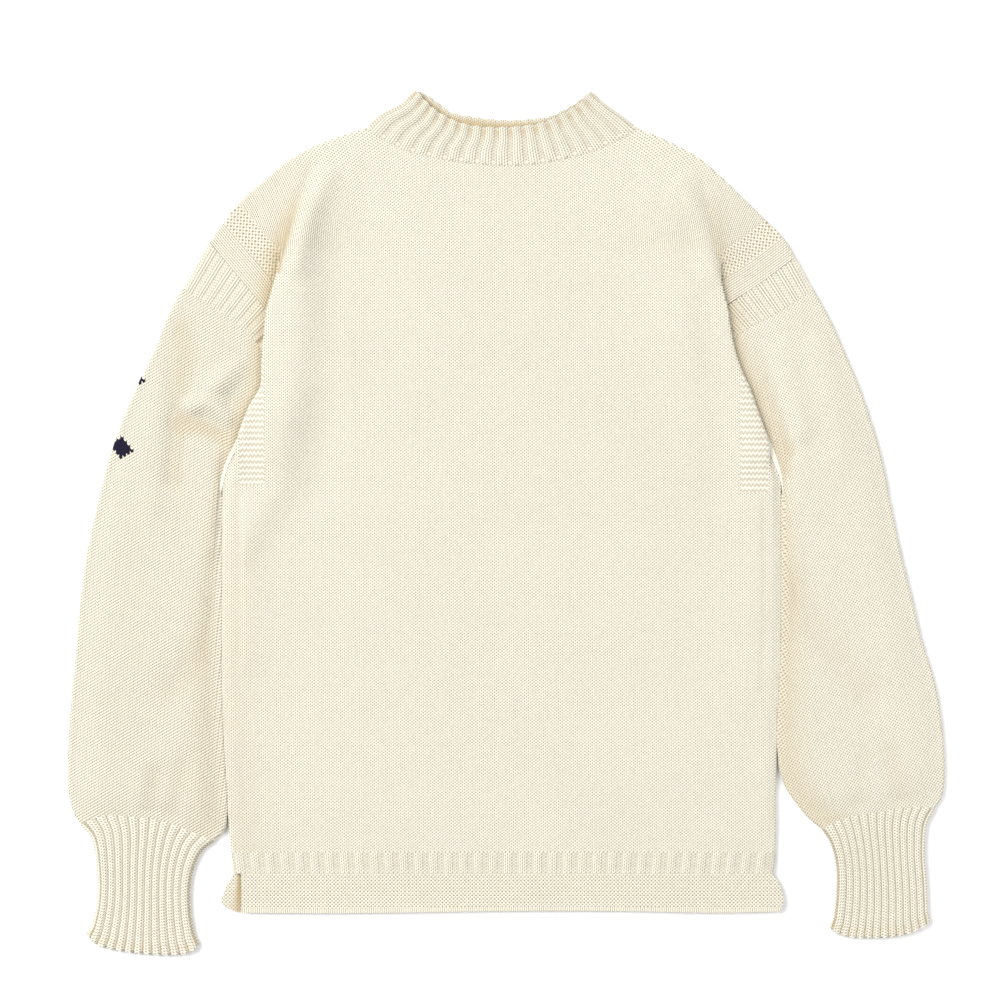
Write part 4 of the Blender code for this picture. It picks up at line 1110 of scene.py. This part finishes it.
knit_side, given, result = new_group("Knit side", {"Stitch": "Vector"}, {**PATTERN, "Cell": "Vector"})
wale, course, pull = split(given["Stitch"])
pulled = calc("MAXIMUM", pull, 0.0)
leaning = calc("MAXIMUM", pull * -1.0, 0.0)
in_wale = calc("FRACT", wale) - 0.5
from_middle = abs(in_wale) * 2.0
slope = course - from_middle * 0.5
to_end = abs(calc("FRACT", slope) - 0.5) * 2.0
to_side = abs(from_middle * 2.0 - 1.0)
across, up = in_wale * TURN_ROUND, course * TURN_ROUND
wave = calc("SINE", across) * calc("SINE", up) * leaning + calc("COSINE", across) * calc("COSINE", up)
put(result["Height"], 0.8 - to_side * to_end * 0.15 - wave * 0.34)
# Painted shade: the opening darkens the holes between loops, the lines between pulled wales and the edges of
# each wale.
holes = mix(0.85, ramp(to_side * to_end, 0.2, 0.8), ramp(wave, -0.35, 1.0))
lines = ramp(to_side, 0.3, 0.95)
between_wales = from_middle**4.0 * (leaning * 0.45 + 0.13)
put(result["Opening"], calc("MINIMUM", mix(pulled, holes, lines) + between_wales, 1.0))
put(result["Tone"], random_tone(joined(calc("FLOOR", wale * 2.0), calc("FLOOR", slope))))
put(result["Cell"], joined(calc("FLOOR", wale), calc("FLOOR", slope)))

# %% [markdown]
# The purl side. Its bumps stand in rows, each row shifted by half a bump. Moss stitch, garter
# stitch and the valleys between ribs all look like this at their own size.

# %% The purl side
purl_side, given, result = new_group("Purl side", {"Stitch": "Vector", "Rows": "Float"}, PATTERN)
wale, course, _ = split(given["Stitch"])
wave_across = calc("COSINE", wale * TURN_ROUND)
bumps = wave_across * calc("COSINE", course * TURN_ROUND)
row_wave = calc("COSINE", (wave_across * 0.16 + course) * TURN_ROUND)
bump_height = mix(given["Rows"] * 0.7 + 0.16, bumps, row_wave) * 0.46 + 0.5
put(result["Height"], bump_height)
# Painted shade: the low places between the bumps are openings.
put(result["Opening"], ramp(bump_height, 0.6, 0.1))
diagonals = joined(calc("FLOOR", wale + course + 0.5), calc("FLOOR", wale - course + 0.5))
put(result["Tone"], random_tone(diagonals))

# %% [markdown]
# Ribbing repeats knit wales and purl wales. The group turns a count of ribs into stitches, and says
# where the knit side shows. A narrow purl part makes the close ribs of a cuff.

# %% Ribbing
sizes = {label: "Float" for label in ("Knit share", "Wales", "Pulled", "Groove", "Bead")}
ribbing, given, result = new_group("Ribbing", {"Ribs": "Vector", **sizes}, PATTERN)
rib_count, course, _ = split(given["Ribs"])
phase = calc("FRACT", rib_count)
is_knit = calc("LESS_THAN", phase, given["Knit share"])
in_rib = phase / given["Knit share"] * given["Wales"]
knit = use(knit_side, Stitch=joined(calc("FLOOR", rib_count) * 7.0 + in_rib, course, given["Pulled"]))
purl = use(purl_side, Stitch=joined(in_rib, course), Rows=0.0)
across_purl = (phase - given["Knit share"]) / (1.0 - given["Knit share"])
from_bead = (across_purl * 2.0 - 1.0) ** 2.0 + (course * 1.4 - 1.5) ** 2.0
has_bead = calc("LESS_THAN", from_bead, 1.6) * given["Bead"]
bead_edge = ramp(from_bead, 0.2, 1.4, 0.1, 0.75)
# Painted shade: the groove darkens the purl valleys, and the edge of each bead is darker.
valley = {
    "Height": mix(has_bead, purl["Height"], 1.2 - bead_edge),
    "Opening": mix(has_bead, purl["Opening"] * 0.6 + given["Groove"], bead_edge),
    "Tone": purl["Tone"],
}
for label in LABELS:
    put(result[label], mix(is_knit, valley[label], knit[label]))

# %% [markdown]
# Wool. Undyed wool is never one colour: its tone drifts softly over the cloth and every strand is a
# little different. The openings between the loops are darker and warmer with painted shade, and a
# piece's shade attribute turns the cream to a painted warm shade of wool lit only by other wool.
# The yarn is spun from fine hairs, which make a small roughness of their own.

# %% Wool
wool, given, result = new_group(
    "Wool",
    {"Light": "Color", "Deep": "Color", "Warm": "Color", "Shelter": "Float", **PATTERN},
    {"Colour": "Color", "Roughness": "Float", "Height": "Float"},
)
place = Wire(wool, wool.nodes.new("ShaderNodeTexCoord").outputs["Object"])
clouds = wired("ShaderNodeTexNoise", {"Vector": place, "Scale": 14.0, "Detail": 3.0}, "Fac")
hairs = wired("ShaderNodeTexNoise", {"Vector": place, "Scale": 2600.0, "Detail": 2.0}, "Fac")
# Painted shade: the cream turns warm where a piece's shade attribute says, and deep in the openings.
painted_shade_tint = mix(calc("MINIMUM", given["Shelter"], 1.0), given["Light"], given["Warm"], "RGBA")
depth = calc("MINIMUM", given["Opening"] * 0.9, 1.0)
colour = mix(depth, painted_shade_tint, given["Deep"], "RGBA")
strand_tone = given["Tone"] * 0.035 + (clouds * 0.07 + 0.965)
toned = wired("ShaderNodeVectorMath", {0: colour, "Scale": strand_tone}, operation="SCALE")
put(result["Colour"], toned)
put(result["Roughness"], hairs * 0.2 + 0.72)
put(result["Height"], given["Height"] + hairs * 0.16)

# %% [markdown]
# ## Finishes
# Each finish is a Principled shader fed by the groups. Wool scatters light back at grazing angles,
# so it has a little sheen, and hardly any gloss.

# %% Finishes
CREAM = (0.80, 0.775, 0.675, 1)
# Painted shade colours: the deep ones go into the openings between loops.
OPENING_SHADE_CREAM = (0.34, 0.275, 0.16, 1)
# Painted shade colour for the places that a piece's shade attribute marks.
PAINTED_SHADE_CREAM = (0.60, 0.47, 0.28, 1)  # wool in a gap, lit only by other wool
LOOP_DEPTH = 0.0008  # how deep the relief of a stitch is, in metres


def new_finish(name):
    finish = bpy.data.materials.new(name)
    finish.use_nodes = True
    shader = finish.node_tree.nodes["Principled BSDF"]
    shader.inputs["Specular IOR Level"].default_value = 0.15
    shader.inputs["Sheen Weight"].default_value = 0.12
    shader.inputs["Sheen Roughness"].default_value = 0.5
    return finish, finish.node_tree, shader

def attribute(tree, label, output="Vector"):
    node = tree.nodes.new("ShaderNodeAttribute")
    node.attribute_name = label
    return Wire(tree, node.outputs[output])


def finish_wool(tree, shader, pattern, light=CREAM, deep=OPENING_SHADE_CREAM):
    """Colours the shader as wool with this pattern of height, opening and tone, and its painted shade."""
    pattern = {label: pattern[label] for label in LABELS}
    # This attribute of the mesh carries painted shade.
    shelter = attribute(tree, "shelter", "Fac")
    yarn = use(wool, Light=light, Deep=deep, Warm=PAINTED_SHADE_CREAM, Shelter=shelter, **pattern)
    relief = {"Height": yarn["Height"], "Distance": LOOP_DEPTH, "Strength": 1.0}
    put(shader.inputs["Normal"], wired("ShaderNodeBump", relief))
    put(shader.inputs["Base Color"], yarn["Colour"])
    put(shader.inputs["Roughness"], yarn["Roughness"])


def plain_knit_finish(name):
    """Plain knitting with the moss stitch band where the moss map says so."""
    finish, tree, shader = new_finish(name)
    stitch, moss_map = attribute(tree, "stitch"), attribute(tree, "moss")
    knit = use(knit_side, Stitch=stitch)
    pull = split(stitch)[2]
    moss = use(purl_side, Stitch=moss_map, Rows=1.0 - pull)
    # More painted shade in the openings of the moss band.
    moss["Opening"] = moss["Opening"] * (pull * 0.95 + 0.5) + 0.12
    in_band = ramp(split(moss_map)[2], -0.3, 0.3)
    pattern = {label: mix(in_band, knit[label], moss[label]) for label in LABELS}
    return finish, tree, shader, pattern, knit["Cell"]


plain_finish, tree, shader, pattern, _ = plain_knit_finish("cream_plain_knit")
finish_wool(tree, shader, pattern)


def ribbed_finish(name, knit_share, pulled, groove, bead=0.0, wales=2.0):
    finish, tree, shader = new_finish(name)
    finish_wool(tree, shader, use(ribbing, Ribs=attribute(tree, "ribs"), Knit_share=knit_share,
                                  Wales=wales, Pulled=pulled, Groove=groove, Bead=bead))
    return finish


COLLAR_KNIT, HEAD_KNIT, HEM_KNIT, CUFF_KNIT = 0.68, 0.5, 0.58, 0.86  # share of a rib that is knit
# Each ribbed finish: knit share, pull of its knit wales, painted shade in its grooves, and beads.
collar_finish = ribbed_finish("cream_collar_rib", COLLAR_KNIT, 0.6, 0.3, 0.5)
head_finish = ribbed_finish("cream_head_rib", HEAD_KNIT, 1.0, 0.16, wales=1.0)
hem_finish = ribbed_finish("cream_hem_rib", HEM_KNIT, 0.3, 0.24)
cuff_finish = ribbed_finish("cream_cuff_rib", CUFF_KNIT, 0.0, 0.62, wales=1.3)

CAST_ON = 4.2  # height of the firm cast-on edge at the end of a welt
welt_finish, tree, shader = new_finish("cream_garter_welt")
stitch = attribute(tree, "stitch")
wale, _, from_end = split(stitch)
garter = use(purl_side, Stitch=stitch, Rows=0.0)
# More painted shade in the openings of the garter welt.
garter["Opening"] = garter["Opening"] * 1.1 + 0.07
cast_on = use(knit_side, Stitch=joined(wale, 0.25, 1.0))
at_end = calc("LESS_THAN", from_end, CAST_ON)
finish_wool(tree, shader, {label: mix(at_end, garter[label], cast_on[label]) for label in LABELS})

# %% [markdown]
# A navy knitted design wraps the outer edge of one sleeve. It is kept plain: lozenges, each stitch
# of them either navy or cream, as stranded knitting makes them.

# %% Navy lozenges
lozenge, given, result = new_group(
    "Lozenge", {"Cell": "Vector", "Middle": "Vector", "Size": "Float"}, {"Mask": "Float"}
)
off_middle = wired("ShaderNodeVectorMath", {0: given["Cell"], 1: given["Middle"]}, operation="SUBTRACT")
across, up, _ = split(off_middle)
put(result["Mask"], calc("LESS_THAN", abs(across) + abs(up), given["Size"]))

NAVY = (0.012, 0.008, 0.03, 1)
OPENING_SHADE_NAVY = (0.003, 0.002, 0.008, 1)
motif_finish, tree, shader, pattern, cell = plain_knit_finish("cream_plain_knit_with_navy")
large = use(lozenge, Cell=cell, Middle=(-109, -11, 0), Size=3.5)["Mask"]
small = use(lozenge, Cell=cell, Middle=(-105, 12, 0), Size=1.5)["Mask"]
navy = calc("MAXIMUM", large, small)
finish_wool(tree, shader, pattern, mix(navy, CREAM, NAVY, "RGBA"), mix(navy, OPENING_SHADE_CREAM, OPENING_SHADE_NAVY, "RGBA"))
print("finishes:", [finish.name for finish in bpy.data.materials])

# %% [markdown]
# ## The front and the back
# The front carries the Z folds. It is one continuous sheet: the plain strip and the moss band beside
# the armhole run in under the fold, turn, and come out on top again.

# %% The front
fine, rows, columns = refined(front_grid(), 4.2)
x, y = fine[..., 0], fine[..., 1]
from_side = np.minimum(columns, columns.max() - columns)
on_top = ease((from_side - 10) / 2)[None, :] * ease((rows - 2) / 3)[:, None]
heights, drag = soft_lines(BODY_CREASES, x, y)
fine[..., 2] += heights * on_top
stitches, moss = body_map(fine, columns, drag * on_top)
# Painted shade on the front: a soft band along the left side low down, and a warm band beside each fold's
# edge, stronger on the left.
from_left = x - x_at(LEFT["side"], np.minimum(y, UNDERARM - 2))
shelter = 0.16 * bell(from_left, 30) * ease((20 - y) / 60) * (from_side >= 3)
for body, most in ((LEFT, 0.75), (RIGHT, 0.3)):
    half_x = x * -body["sign"]
    outside = fold_line(body, y) - half_x
    near = bell(np.where(outside > 0, outside, outside * 3), 13)
    along_fold = np.interp(y, (150, 172, 190, 250, 275, 305), (0, 0.3, 1, 1, 0.7, 0))
    shelter += most * near * along_fold * (half_x < 0) * ((from_side < 6) | (y > LEVEL - 10))
maps = {"stitch": stitches, "moss": moss, "shelter": shelter}
knitted("front", plain_finish, fine, maps, rests_on=["back"])

# %% The back
fine, rows, columns = refined(back_grid(), 5.0)
stitches, moss = body_map(fine, columns, np.zeros(fine.shape[:2]))
moss[..., 2] = -1
knitted("back", plain_finish, fine, {"stitch": stitches, "moss": moss})

# %% [markdown]
# ## The sleeves
# Each sleeve is a flat tube from its ribbed head to its cuff, and it puffs out above the cuff. The
# wales run down the sleeve a little askew, because the sleeve was pulled in towards the body.

# %% The plain sleeves
# For each sleeve: stitches for each millimetre across and up, rows for the same two, the lean of the
# stitches, the middle, width and strength of the strip of painted shade beside the body, and the
# height above which the inner edge leans on the body.
SLEEVES = {
    "left": ((0.310, -0.019), (0.098, 0.349), -0.45, (14, 18, 0.2), -275),
    "right": ((0.291, 0.069), (-0.082, 0.338), -0.12, (6, 19, 0.36), -215),
}
HALVES = (("left", LEFT), ("right", RIGHT))


def plain_sleeve(body):
    """The coarse grid of a sleeve between its ribbed head and its cuff."""
    fronts, backs = sleeve_rings(body)
    for lines in (fronts, backs):
        lines[0] = aside(lines[0], -2 * SEAM_HALF)
        lines[-1] = aside(lines[-1], 2 * SEAM_HALF)
    heights = [sleeve_height(body, row[4]) for row in body["rings"]]
    lean = np.concatenate([np.zeros(len(heights) - 2), (0.2, 1)])
    return tube(fronts, backs, heights, ROLL, lean=lean)


for side, body in HALVES:
    across, up, leaning, (deepest, reach, most), lowest = SLEEVES[side]
    sign = body["sign"]
    fine, rows, columns = refined(plain_sleeve(body), 2.7, closed=True)
    x, y = fine[..., 0].copy(), fine[..., 1]
    front_end = len(sleeve_rings(body)[0][0]) + 3
    over = columns < front_end
    inner_edge = fine[:, np.argmin(np.abs(columns - front_end)), None, :2]
    from_outer = np.linalg.norm(fine[..., :2] - fine[:, 0, None, :2], axis=2)
    from_inner = np.linalg.norm(fine[..., :2] - inner_edge, axis=2)
    on_top = over * ease(np.minimum(from_outer, from_inner) / 14) * clear_of_fold(body, x, y, 1, 12)
    on_top = on_top * ease((rows - 0.1) / 0.8)[:, None] * ease((rows.max() - rows) / 1.2)[:, None]
    heights, drag = soft_lines(SLEEVE_CREASES, x * -sign, y)
    low = FRONT - fine[..., 2]
    fine[..., 2] = np.maximum(fine[..., 2] + heights * on_top, np.minimum(fine[..., 2], FRONT))
    # Painted shade on the sleeve: in its troughs, beside the fold's edge, and in a strip beside the body.
    fold_shade = bell(table(body["fold"], y) - x, 11) * ease((y - UNDERARM) / 20)
    body_shade = most * bell(from_inner - deepest, reach) * ease((60 - y) / 30)
    shelter = np.clip(-heights * on_top / 13, 0, 0.4) + (0.55 * fold_shade + body_shade) * over
    leans_on = ease((fine[..., 2] - MID) / 1.6) * ease(1 - from_inner / 7) * (columns < front_end + 2)
    fine[..., 0] += 2.6 * leans_on * ease((70 - y) / 20) * ease((y - lowest) / 25)
    edge = np.clip(low, 0, LAYER) * np.where(from_outer < from_inner, sign, -sign)
    wale = across[0] * x * -sign + across[1] * y + (drag * on_top + edge) / BODY_WALE
    stitches = stacked(fine, wale, up[0] * x * -sign + up[1] * y, leaning)
    maps = {"stitch": stitches, "moss": np.full(fine.shape, -1.0), "shelter": shelter}
    finish = motif_finish if body is LEFT else plain_finish
    knitted(f"sleeve_{side}", finish, fine, maps, right=body is RIGHT, closed=True)

# %% [markdown]
# ## Ribbed pieces
# A rib of this wool is about as high as the yarn is thick. Each rib's round top and the valley
# beside it come from the thickness of the wall, which swells and falls across every rib.

# %% Rib profile
def rib_points(count, start, end, extra=0, steps=8):
    """Shares across a row of ribs, and the count of ribs at each, with extra steps after the last."""
    counts = np.arange(count * steps + 1 + extra) / steps
    return list(start + (end - start) * counts / counts[-1]), counts


def rib_height(counts, knit_share):
    """How raised the wall is at this count of ribs: a round top over the knit share."""
    phase = counts % 1
    top = np.sin(np.pi * np.clip(phase / knit_share, 0, 1)) ** 0.6
    return np.where(phase < knit_share, top, 0)


def counts_round(ring, counts):
    """The count of ribs at each point of a ring: onwards round the edges, and the same beneath."""
    last = len(counts) + 5  # the point half way round the far edge
    length = distances(ring[: last + 1])
    pitch = (length[last - 3] - length[3]) / (counts[-1] - counts[0])
    above = np.concatenate([
        counts[0] - (length[3] - length[:3]) / pitch,
        counts,
        counts[-1] + (length[last - 2 :] - length[last - 3]) / pitch,
    ])
    return np.concatenate([above, above[-2:0:-1]])


def from_row(grid, row):
    """How far each point of the grid is from the same point of this row."""
    return np.linalg.norm(grid - grid[row], axis=2)


def level_with_plain(thickness):
    """How raised a ribbed wall of this thickness is where it meets plain cloth."""
    return (WALL + SEAM_LIFT - RIB_VALLEY) / (thickness - RIB_VALLEY)


def frilled(grid, raised, size, lift, flare, depth=3.0):
    """The grid with its first row let out where the ribs stand, in by as much between them, and
    the whole end a little wider."""
    out = grid[0] - grid[2]
    out /= np.linalg.norm(out, axis=1)[:, None]
    near = ease(1 - from_row(grid, 0) / depth)[..., None]
    wave = (raised - 0.5)[None, :, None]
    wider = flare * (grid[0] - grid[0].mean(axis=0)) * (1, 1, 0)
    wide = ease(1 - from_row(grid, 0) / (4 * depth))[..., None]
    return grid + near * wave * (size * out[None] + np.array((0, 0, lift))) + wide * wider


def ribbed_tube(node, finish, body, grid, counts, knit_share, course, thickness, frills, meet, flipped):
    """A ribbed tube whose first row is its free end and whose last row is the seam."""
    fine, _, _ = refined(grid, 2.6, across=False)
    across = counts_round(fine[len(fine) // 2], counts)
    raised = rib_height(across, knit_share)
    below = np.arange(len(across)) > len(counts) + 5
    inside = (across > 0) & (across < counts[-1])
    fine = reaching(frilled(fine, np.where(inside, raised, 0.5), *frills), last=meet)
    plain = level_with_plain(thickness)
    weights = plain + (np.where(below, 0, raised) - plain) * ease(from_row(fine, -1) / 3)
    weights = np.where(fine[..., 2] <= MID, 0, weights)
    down = from_row(fine, 0)
    # Painted shade near the free end: on the tube's back layer inside its edge, and in the valleys between
    # the ribs.
    shade_inside_edge = 0.9 * ease((down - 0.5) / 5) * ease((18 - down) / 8)
    shade_between_ribs = 0.65 * (1 - raised) * ease(1 - down / 14) * ease((down - 0.6) / 2.5)
    maps = {
        "ribs": stacked(fine, across, from_row(fine, -1) / course),
        "shelter": np.where(below, shade_inside_edge, shade_between_ribs),
    }
    knitted(node, finish, fine, maps, right=body is RIGHT, closed=True, flipped=flipped,
            thickness=thickness, raised=weights)


# %% The collar
def collar_piece():
    dense = np.linspace(0, 1, 201)
    left, right = smooth(COLLAR_SIDE_LEFT), smooth(COLLAR_SIDE_RIGHT)
    ribs, counts = rib_points(COLLAR_RIBS, 0.015, 0.985, extra=5)
    ribs = np.array(ribs)
    layers = []
    for neck, count, top in ((NECK_FRONT, 6, COLLAR_TOP_FRONT), (NECK_BACK, 3, COLLAR_TOP_BACK)):
        seam = neck_points(smooth(neck), count) + (0, SEAM_HALF)
        seam = smooth(np.vstack([neck[0], seam, neck[-1]]))
        lines = []
        for share in (1, 0.66, 0.33, 0):
            start = along(left, [share])[0] + (HALF_WALL, 0)
            end = along(right, [share])[0] - (HALF_WALL, 0)
            line = chord_line(start, end, dense) + (1 - share) * bow(seam, dense)
            line = line + share * bow(smooth(top), dense) + (0, 0.5 * (share == 0))
            places = ribs - share * 0.13 * np.sin(2 * np.pi * ribs) / (2 * np.pi)
            lines.append(with_ends(line, list(places)))
        layers.append(lines)
    return tube(*layers, [FRONT - HALF_WALL] * 4, ROLL - HALF_WALL, HALF_WALL), counts


ribbed_tube("collar", collar_finish, LEFT, *collar_piece(), COLLAR_KNIT, RIB_COURSE, COLLAR_RIB,
            (1.0, 0.5, 0.0), 1.3, False)

# %% The cuffs
def cuff_piece(body):
    dense = np.linspace(0, 1, 201)
    ribs, counts = rib_points(CUFF_RIBS, 0.035, 0.965, extra=6)
    fronts, backs = sleeve_rings(body)
    fronts = [with_ends(fronts[-1], ribs) - (0, SEAM_HALF)]
    backs = [with_ends(backs[-1], ribs) - (0, SEAM_HALF)]
    for share in (0.14, 0.38, 0.69, 1):
        start = along(body["cuff_outer"], [share])[0]
        end = along(body["cuff_inner"], [share])[0]
        line = chord_line(start, end, dense) + share * bow(body["cuff_end"], dense)
        fronts.append(with_ends(line + (1 - share) * bow(body["cuff_start"], dense), ribs))
        backs.append(with_ends(line, ribs))
    heights = [FRONT - HALF_WALL] * 5
    grid = tube(fronts, backs, heights, ROLL - HALF_WALL, HALF_WALL, (1, 0.5, 0, 0, 0))
    return grid, counts


for side, body in HALVES:
    grid, counts = cuff_piece(body)
    ribbed_tube(f"cuff_{side}", cuff_finish, body, grid[::-1], counts, CUFF_KNIT, CUFF_COURSE, CUFF_RIB,
                (2.2, 1.2, 0.045), 0.6, True)

# %% The ribbed sleeve heads
def head_piece(body):
    fronts, backs = sleeve_rings(body)
    ribs, counts = rib_points(HEAD_RIBS, 0.02, RIBS_END)
    overs, unders = [], []
    for lines, rows, last, shares in (
        (overs, FRONT_ROWS, fronts[0], ribs),
        (unders, BACK_ROWS, backs[0], []),
    ):
        for line in (armhole_line(body, rows), last):
            corners = [s for s in corner_shares(line) if not shares or s > RIBS_END + 0.02]
            lines.append(with_ends(line, shares + corners))
        lines[1][-1] = (lines[1][-2] + lines[1][-1]) / 2
        lines.insert(1, (lines[0] + lines[1]) / 2)
    radius = ROLL - HALF_WALL
    starts = np.array([line[0] for line in overs])
    start_in = inward(starts, np.array([line[-1] for line in overs]))
    grid = []
    for k, (over, under) in enumerate(zip(overs, unders)):
        edge = starts[k] + start_in[k] * HALF_WALL
        rounded = edge + ROUND_IN * radius * start_in[k]
        flat = edge + radius * start_in[k]
        grid.append(np.vstack([
            at_height(np.vstack([flat, under[1:]])[::-1], MID - radius),
            at_height([rounded], MID - ROUND_UP * radius),
            at_height([edge], MID),
            at_height([rounded], MID + ROUND_UP * radius),
            at_height(np.vstack([flat, over[1:]]), MID + radius),
        ]))
    return np.array(grid), counts, len(unders[0]) + 4


for side, body in HALVES:
    grid, counts, first = head_piece(body)
    fine, _, _ = refined(grid, 2.6, across=False)
    ribs = slice(first, first + len(counts))
    length = distances(fine[len(fine) // 2])
    pitch = (length[ribs][-1] - length[first]) / HEAD_RIBS
    across = np.abs(length - length[first - 2]) / pitch
    across += counts[0] - across[first]
    across[ribs] = counts
    across[ribs.stop :] = counts[-1] + 0.12
    raised = np.zeros(fine.shape[1])
    raised[ribs] = 0.6 * rib_height(counts, HEAD_KNIT)
    narrow = ease((80 - fine[:, :, 1]) / 20)[..., None]
    fine = reaching(fine, 0.15, 0.45) * (1 - narrow) + reaching(fine, 0.8, 0.9) * narrow
    x, y, z = (fine[..., k] for k in range(3))
    outside = table(body["fold"], y) - x
    plain = level_with_plain(HEAD_RIB)
    fade = ease(from_row(fine, -1) / 6) * ease(from_row(fine, 0) / 2)
    weights = plain + (raised - plain) * fade
    weights[(outside < 1) & (y < LEVEL)] = plain
    weights = np.where(z <= MID, 0, weights)
    # Painted shade on the head's upper side beside the fold's edge.
    maps = {
        "ribs": stacked(fine, across, from_row(fine, 0) / RIB_COURSE),
        "shelter": 0.5 * bell(outside, 14) * (z > MID) * ease((y - 90) / 30),
    }
    knitted(f"sleeve_head_rib_{side}", head_finish, fine, maps, right=body is RIGHT,
            thickness=HEAD_RIB, raised=weights)

# %% [markdown]
# ## The hem
# Above the split hem a band of short ribs gathers the body. Below it two flaps of garter stitch, the
# welts, hang free of each other, so the wearer can sit and bend.

# %% The ribbed bands
def band_rows(section):
    """The two edges of a band. The section gives x and height along one from where its sides are."""
    rows = []
    for y in (BAND_TOP - SEAM_GAP / 2, BAND_BOTTOM + SEAM_GAP / 2):
        xs, zs = section(x_at(LEFT["side"], y), -x_at(RIGHT["side"], y))
        rows.append(np.column_stack([xs, np.full(len(xs), y), zs]))
    return np.array(rows)


counts = np.arange(HEM_RIBS * 8 + 1) / 8


def front_section(x0, x1):
    radius = ROLL - HALF_WALL
    x0, x1 = x0 + HALF_WALL, x1 - HALF_WALL
    inner = x0 + radius + (x1 - x0 - 2 * radius) * counts / HEM_RIBS
    ends = [MID + 0.1, MID + radius * 0.5]
    heights = np.concatenate([ends, np.full(len(inner), FRONT - HALF_WALL), ends[::-1]])
    return np.concatenate([[x0, x0], inner, [x1, x1]]), heights


fine, _, _ = refined(band_rows(front_section), 2.4, across=False)
counts = np.concatenate([[-0.3, -0.15], counts, HEM_RIBS + np.array((0.15, 0.3))])
ribs = stacked(fine, counts, fine[..., 1] / RIB_COURSE)
fine = reaching(fine, 0.3, 0.5)
plain = level_with_plain(HEM_RIB)
fade = ease(from_row(fine, 0) / 4) * ease(from_row(fine, -1) / 2)
raised = plain + (rib_height(counts, HEM_KNIT) - plain) * fade
knitted("front_rib_band", hem_finish, fine, {"ribs": ribs}, thickness=HEM_RIB,
        raised=raised, rests_on=["back_rib_band"])


def back_section(x0, x1):
    near, down = np.array(ROLL_IN[:3]), MID - np.array(ROLL_UP[:3])
    xs = np.concatenate([x0 + near, np.linspace(x0 + ROLL, x1 - ROLL, 10), x1 - near[::-1]])
    return xs, np.concatenate([down, np.full(10, BACK), down[::-1]])


fine, _, _ = refined(band_rows(back_section), 2.4)
ribs = stacked(fine, fine[..., 0] / 13.5 + 18.5, fine[..., 1] / RIB_COURSE)
knitted("back_rib_band", hem_finish, fine, {"ribs": ribs})

# %% The welts
def welt(left, right, end, height, columns, lift=0.0):
    """A flap below the band: its two side edges, its lower edge, and a straight top."""
    left, right, end = smooth(left), smooth(right), smooth(end)
    across = np.linspace(0, 1, columns)
    end_bow = bow(end, across)
    rows = []
    for share in (0, 0.35, 0.7, 0.88, 1):
        start = along(left, [share])[0]
        stop = along(right, [share])[0]
        line = chord_line(start, stop, across) + share * end_bow
        rows.append(at_height(line, height + lift * ease((share - 0.6) / 0.4)))
    return np.array(rows)


for node, outline, height, count, lift, below in (
    ("front_welt", (FRONT_WELT_LEFT, FRONT_WELT_RIGHT, FRONT_WELT_END), FRONT, 16, BODY_LIFT, ["back_welt"]),
    ("back_welt", (BACK_WELT_LEFT, BACK_WELT_RIGHT, BACK_WELT_END), BACK, 10, 0.0, ()),
):
    fine, _, _ = refined(welt(*outline, height, count, lift), 2.6)
    x, y = fine[..., 0], fine[..., 1]
    # Painted shade on the back welt in the vent beside the front welt's edge, wider further down.
    down = np.clip((-316 - y) / 35, 0, 1)
    vent_shade = bell(x + 239.0 + 2 * down, 1.8 + 4.2 * down) * (node == "back_welt")
    maps = {
        "stitch": stacked(fine, x / WELT_WALE, y / WELT_ROW, from_row(fine, -1)),
        "shelter": (1.5 - 0.7 * down) * vent_shade,
    }
    knitted(node, welt_finish, fine, maps, rests_on=below)

# %% [markdown]
# ## Floor, light and camera
# The sweater is seen from straight above on a white surface. Two broad soft lights and a bright
# room leave only faint shadows under the edges.

# %% The floor
floor_mesh = bpy.data.meshes.new("floor")
floor_mesh.from_pydata([(-3, -3, 0), (3, -3, 0), (3, 3, 0), (-3, 3, 0)], [], [(0, 1, 2, 3)])
floor = bpy.data.objects.new("floor", floor_mesh)
floor.location.z = -0.0004
bpy.context.scene.collection.objects.link(floor)
white = bpy.data.materials.new("white_surface")
white.use_nodes = True
white_shader = white.node_tree.nodes["Principled BSDF"]
white_shader.inputs["Base Color"].default_value = (0.95, 0.95, 0.955, 1)
white_shader.inputs["Roughness"].default_value = 0.9
white_shader.inputs["Specular IOR Level"].default_value = 0.1
floor_mesh.materials.append(white)

# %% The lights
room = bpy.data.worlds.new("room")
room.use_nodes = True
room.node_tree.nodes["Background"].inputs["Color"].default_value = (1, 1, 1, 1)
room.node_tree.nodes["Background"].inputs["Strength"].default_value = 0.46
bpy.context.scene.world = room
bpy.context.scene.view_settings.view_transform = "Standard"


def soft_light(name, place, size, power):
    lamp = bpy.data.lights.new(name, "AREA")
    lamp.shape = "DISK"
    lamp.size = size
    lamp.energy = power
    light = bpy.data.objects.new(name, lamp)
    light.location = place
    light.rotation_euler = (-light.location).to_track_quat("-Z", "Y").to_euler()
    bpy.context.scene.collection.objects.link(light)


soft_light("left_soft_light", (-3.9, 1.9, 4.1), 4.4, 415)
soft_light("right_soft_light", (4.4, 0.2, 4.2), 3.4, 165)

# %% The camera
PICTURE_WIDTH = 0.9  # metres of the surface across the picture
DISTANCE = 3.0
camera_data = bpy.data.cameras.new("camera")
camera_data.sensor_width = 36
camera_data.lens = 36 * DISTANCE / PICTURE_WIDTH
camera = bpy.data.objects.new("camera", camera_data)
camera.location = (-0.0054, 0.0207, DISTANCE + 0.004)
bpy.context.scene.collection.objects.link(camera)
bpy.context.scene.camera = camera
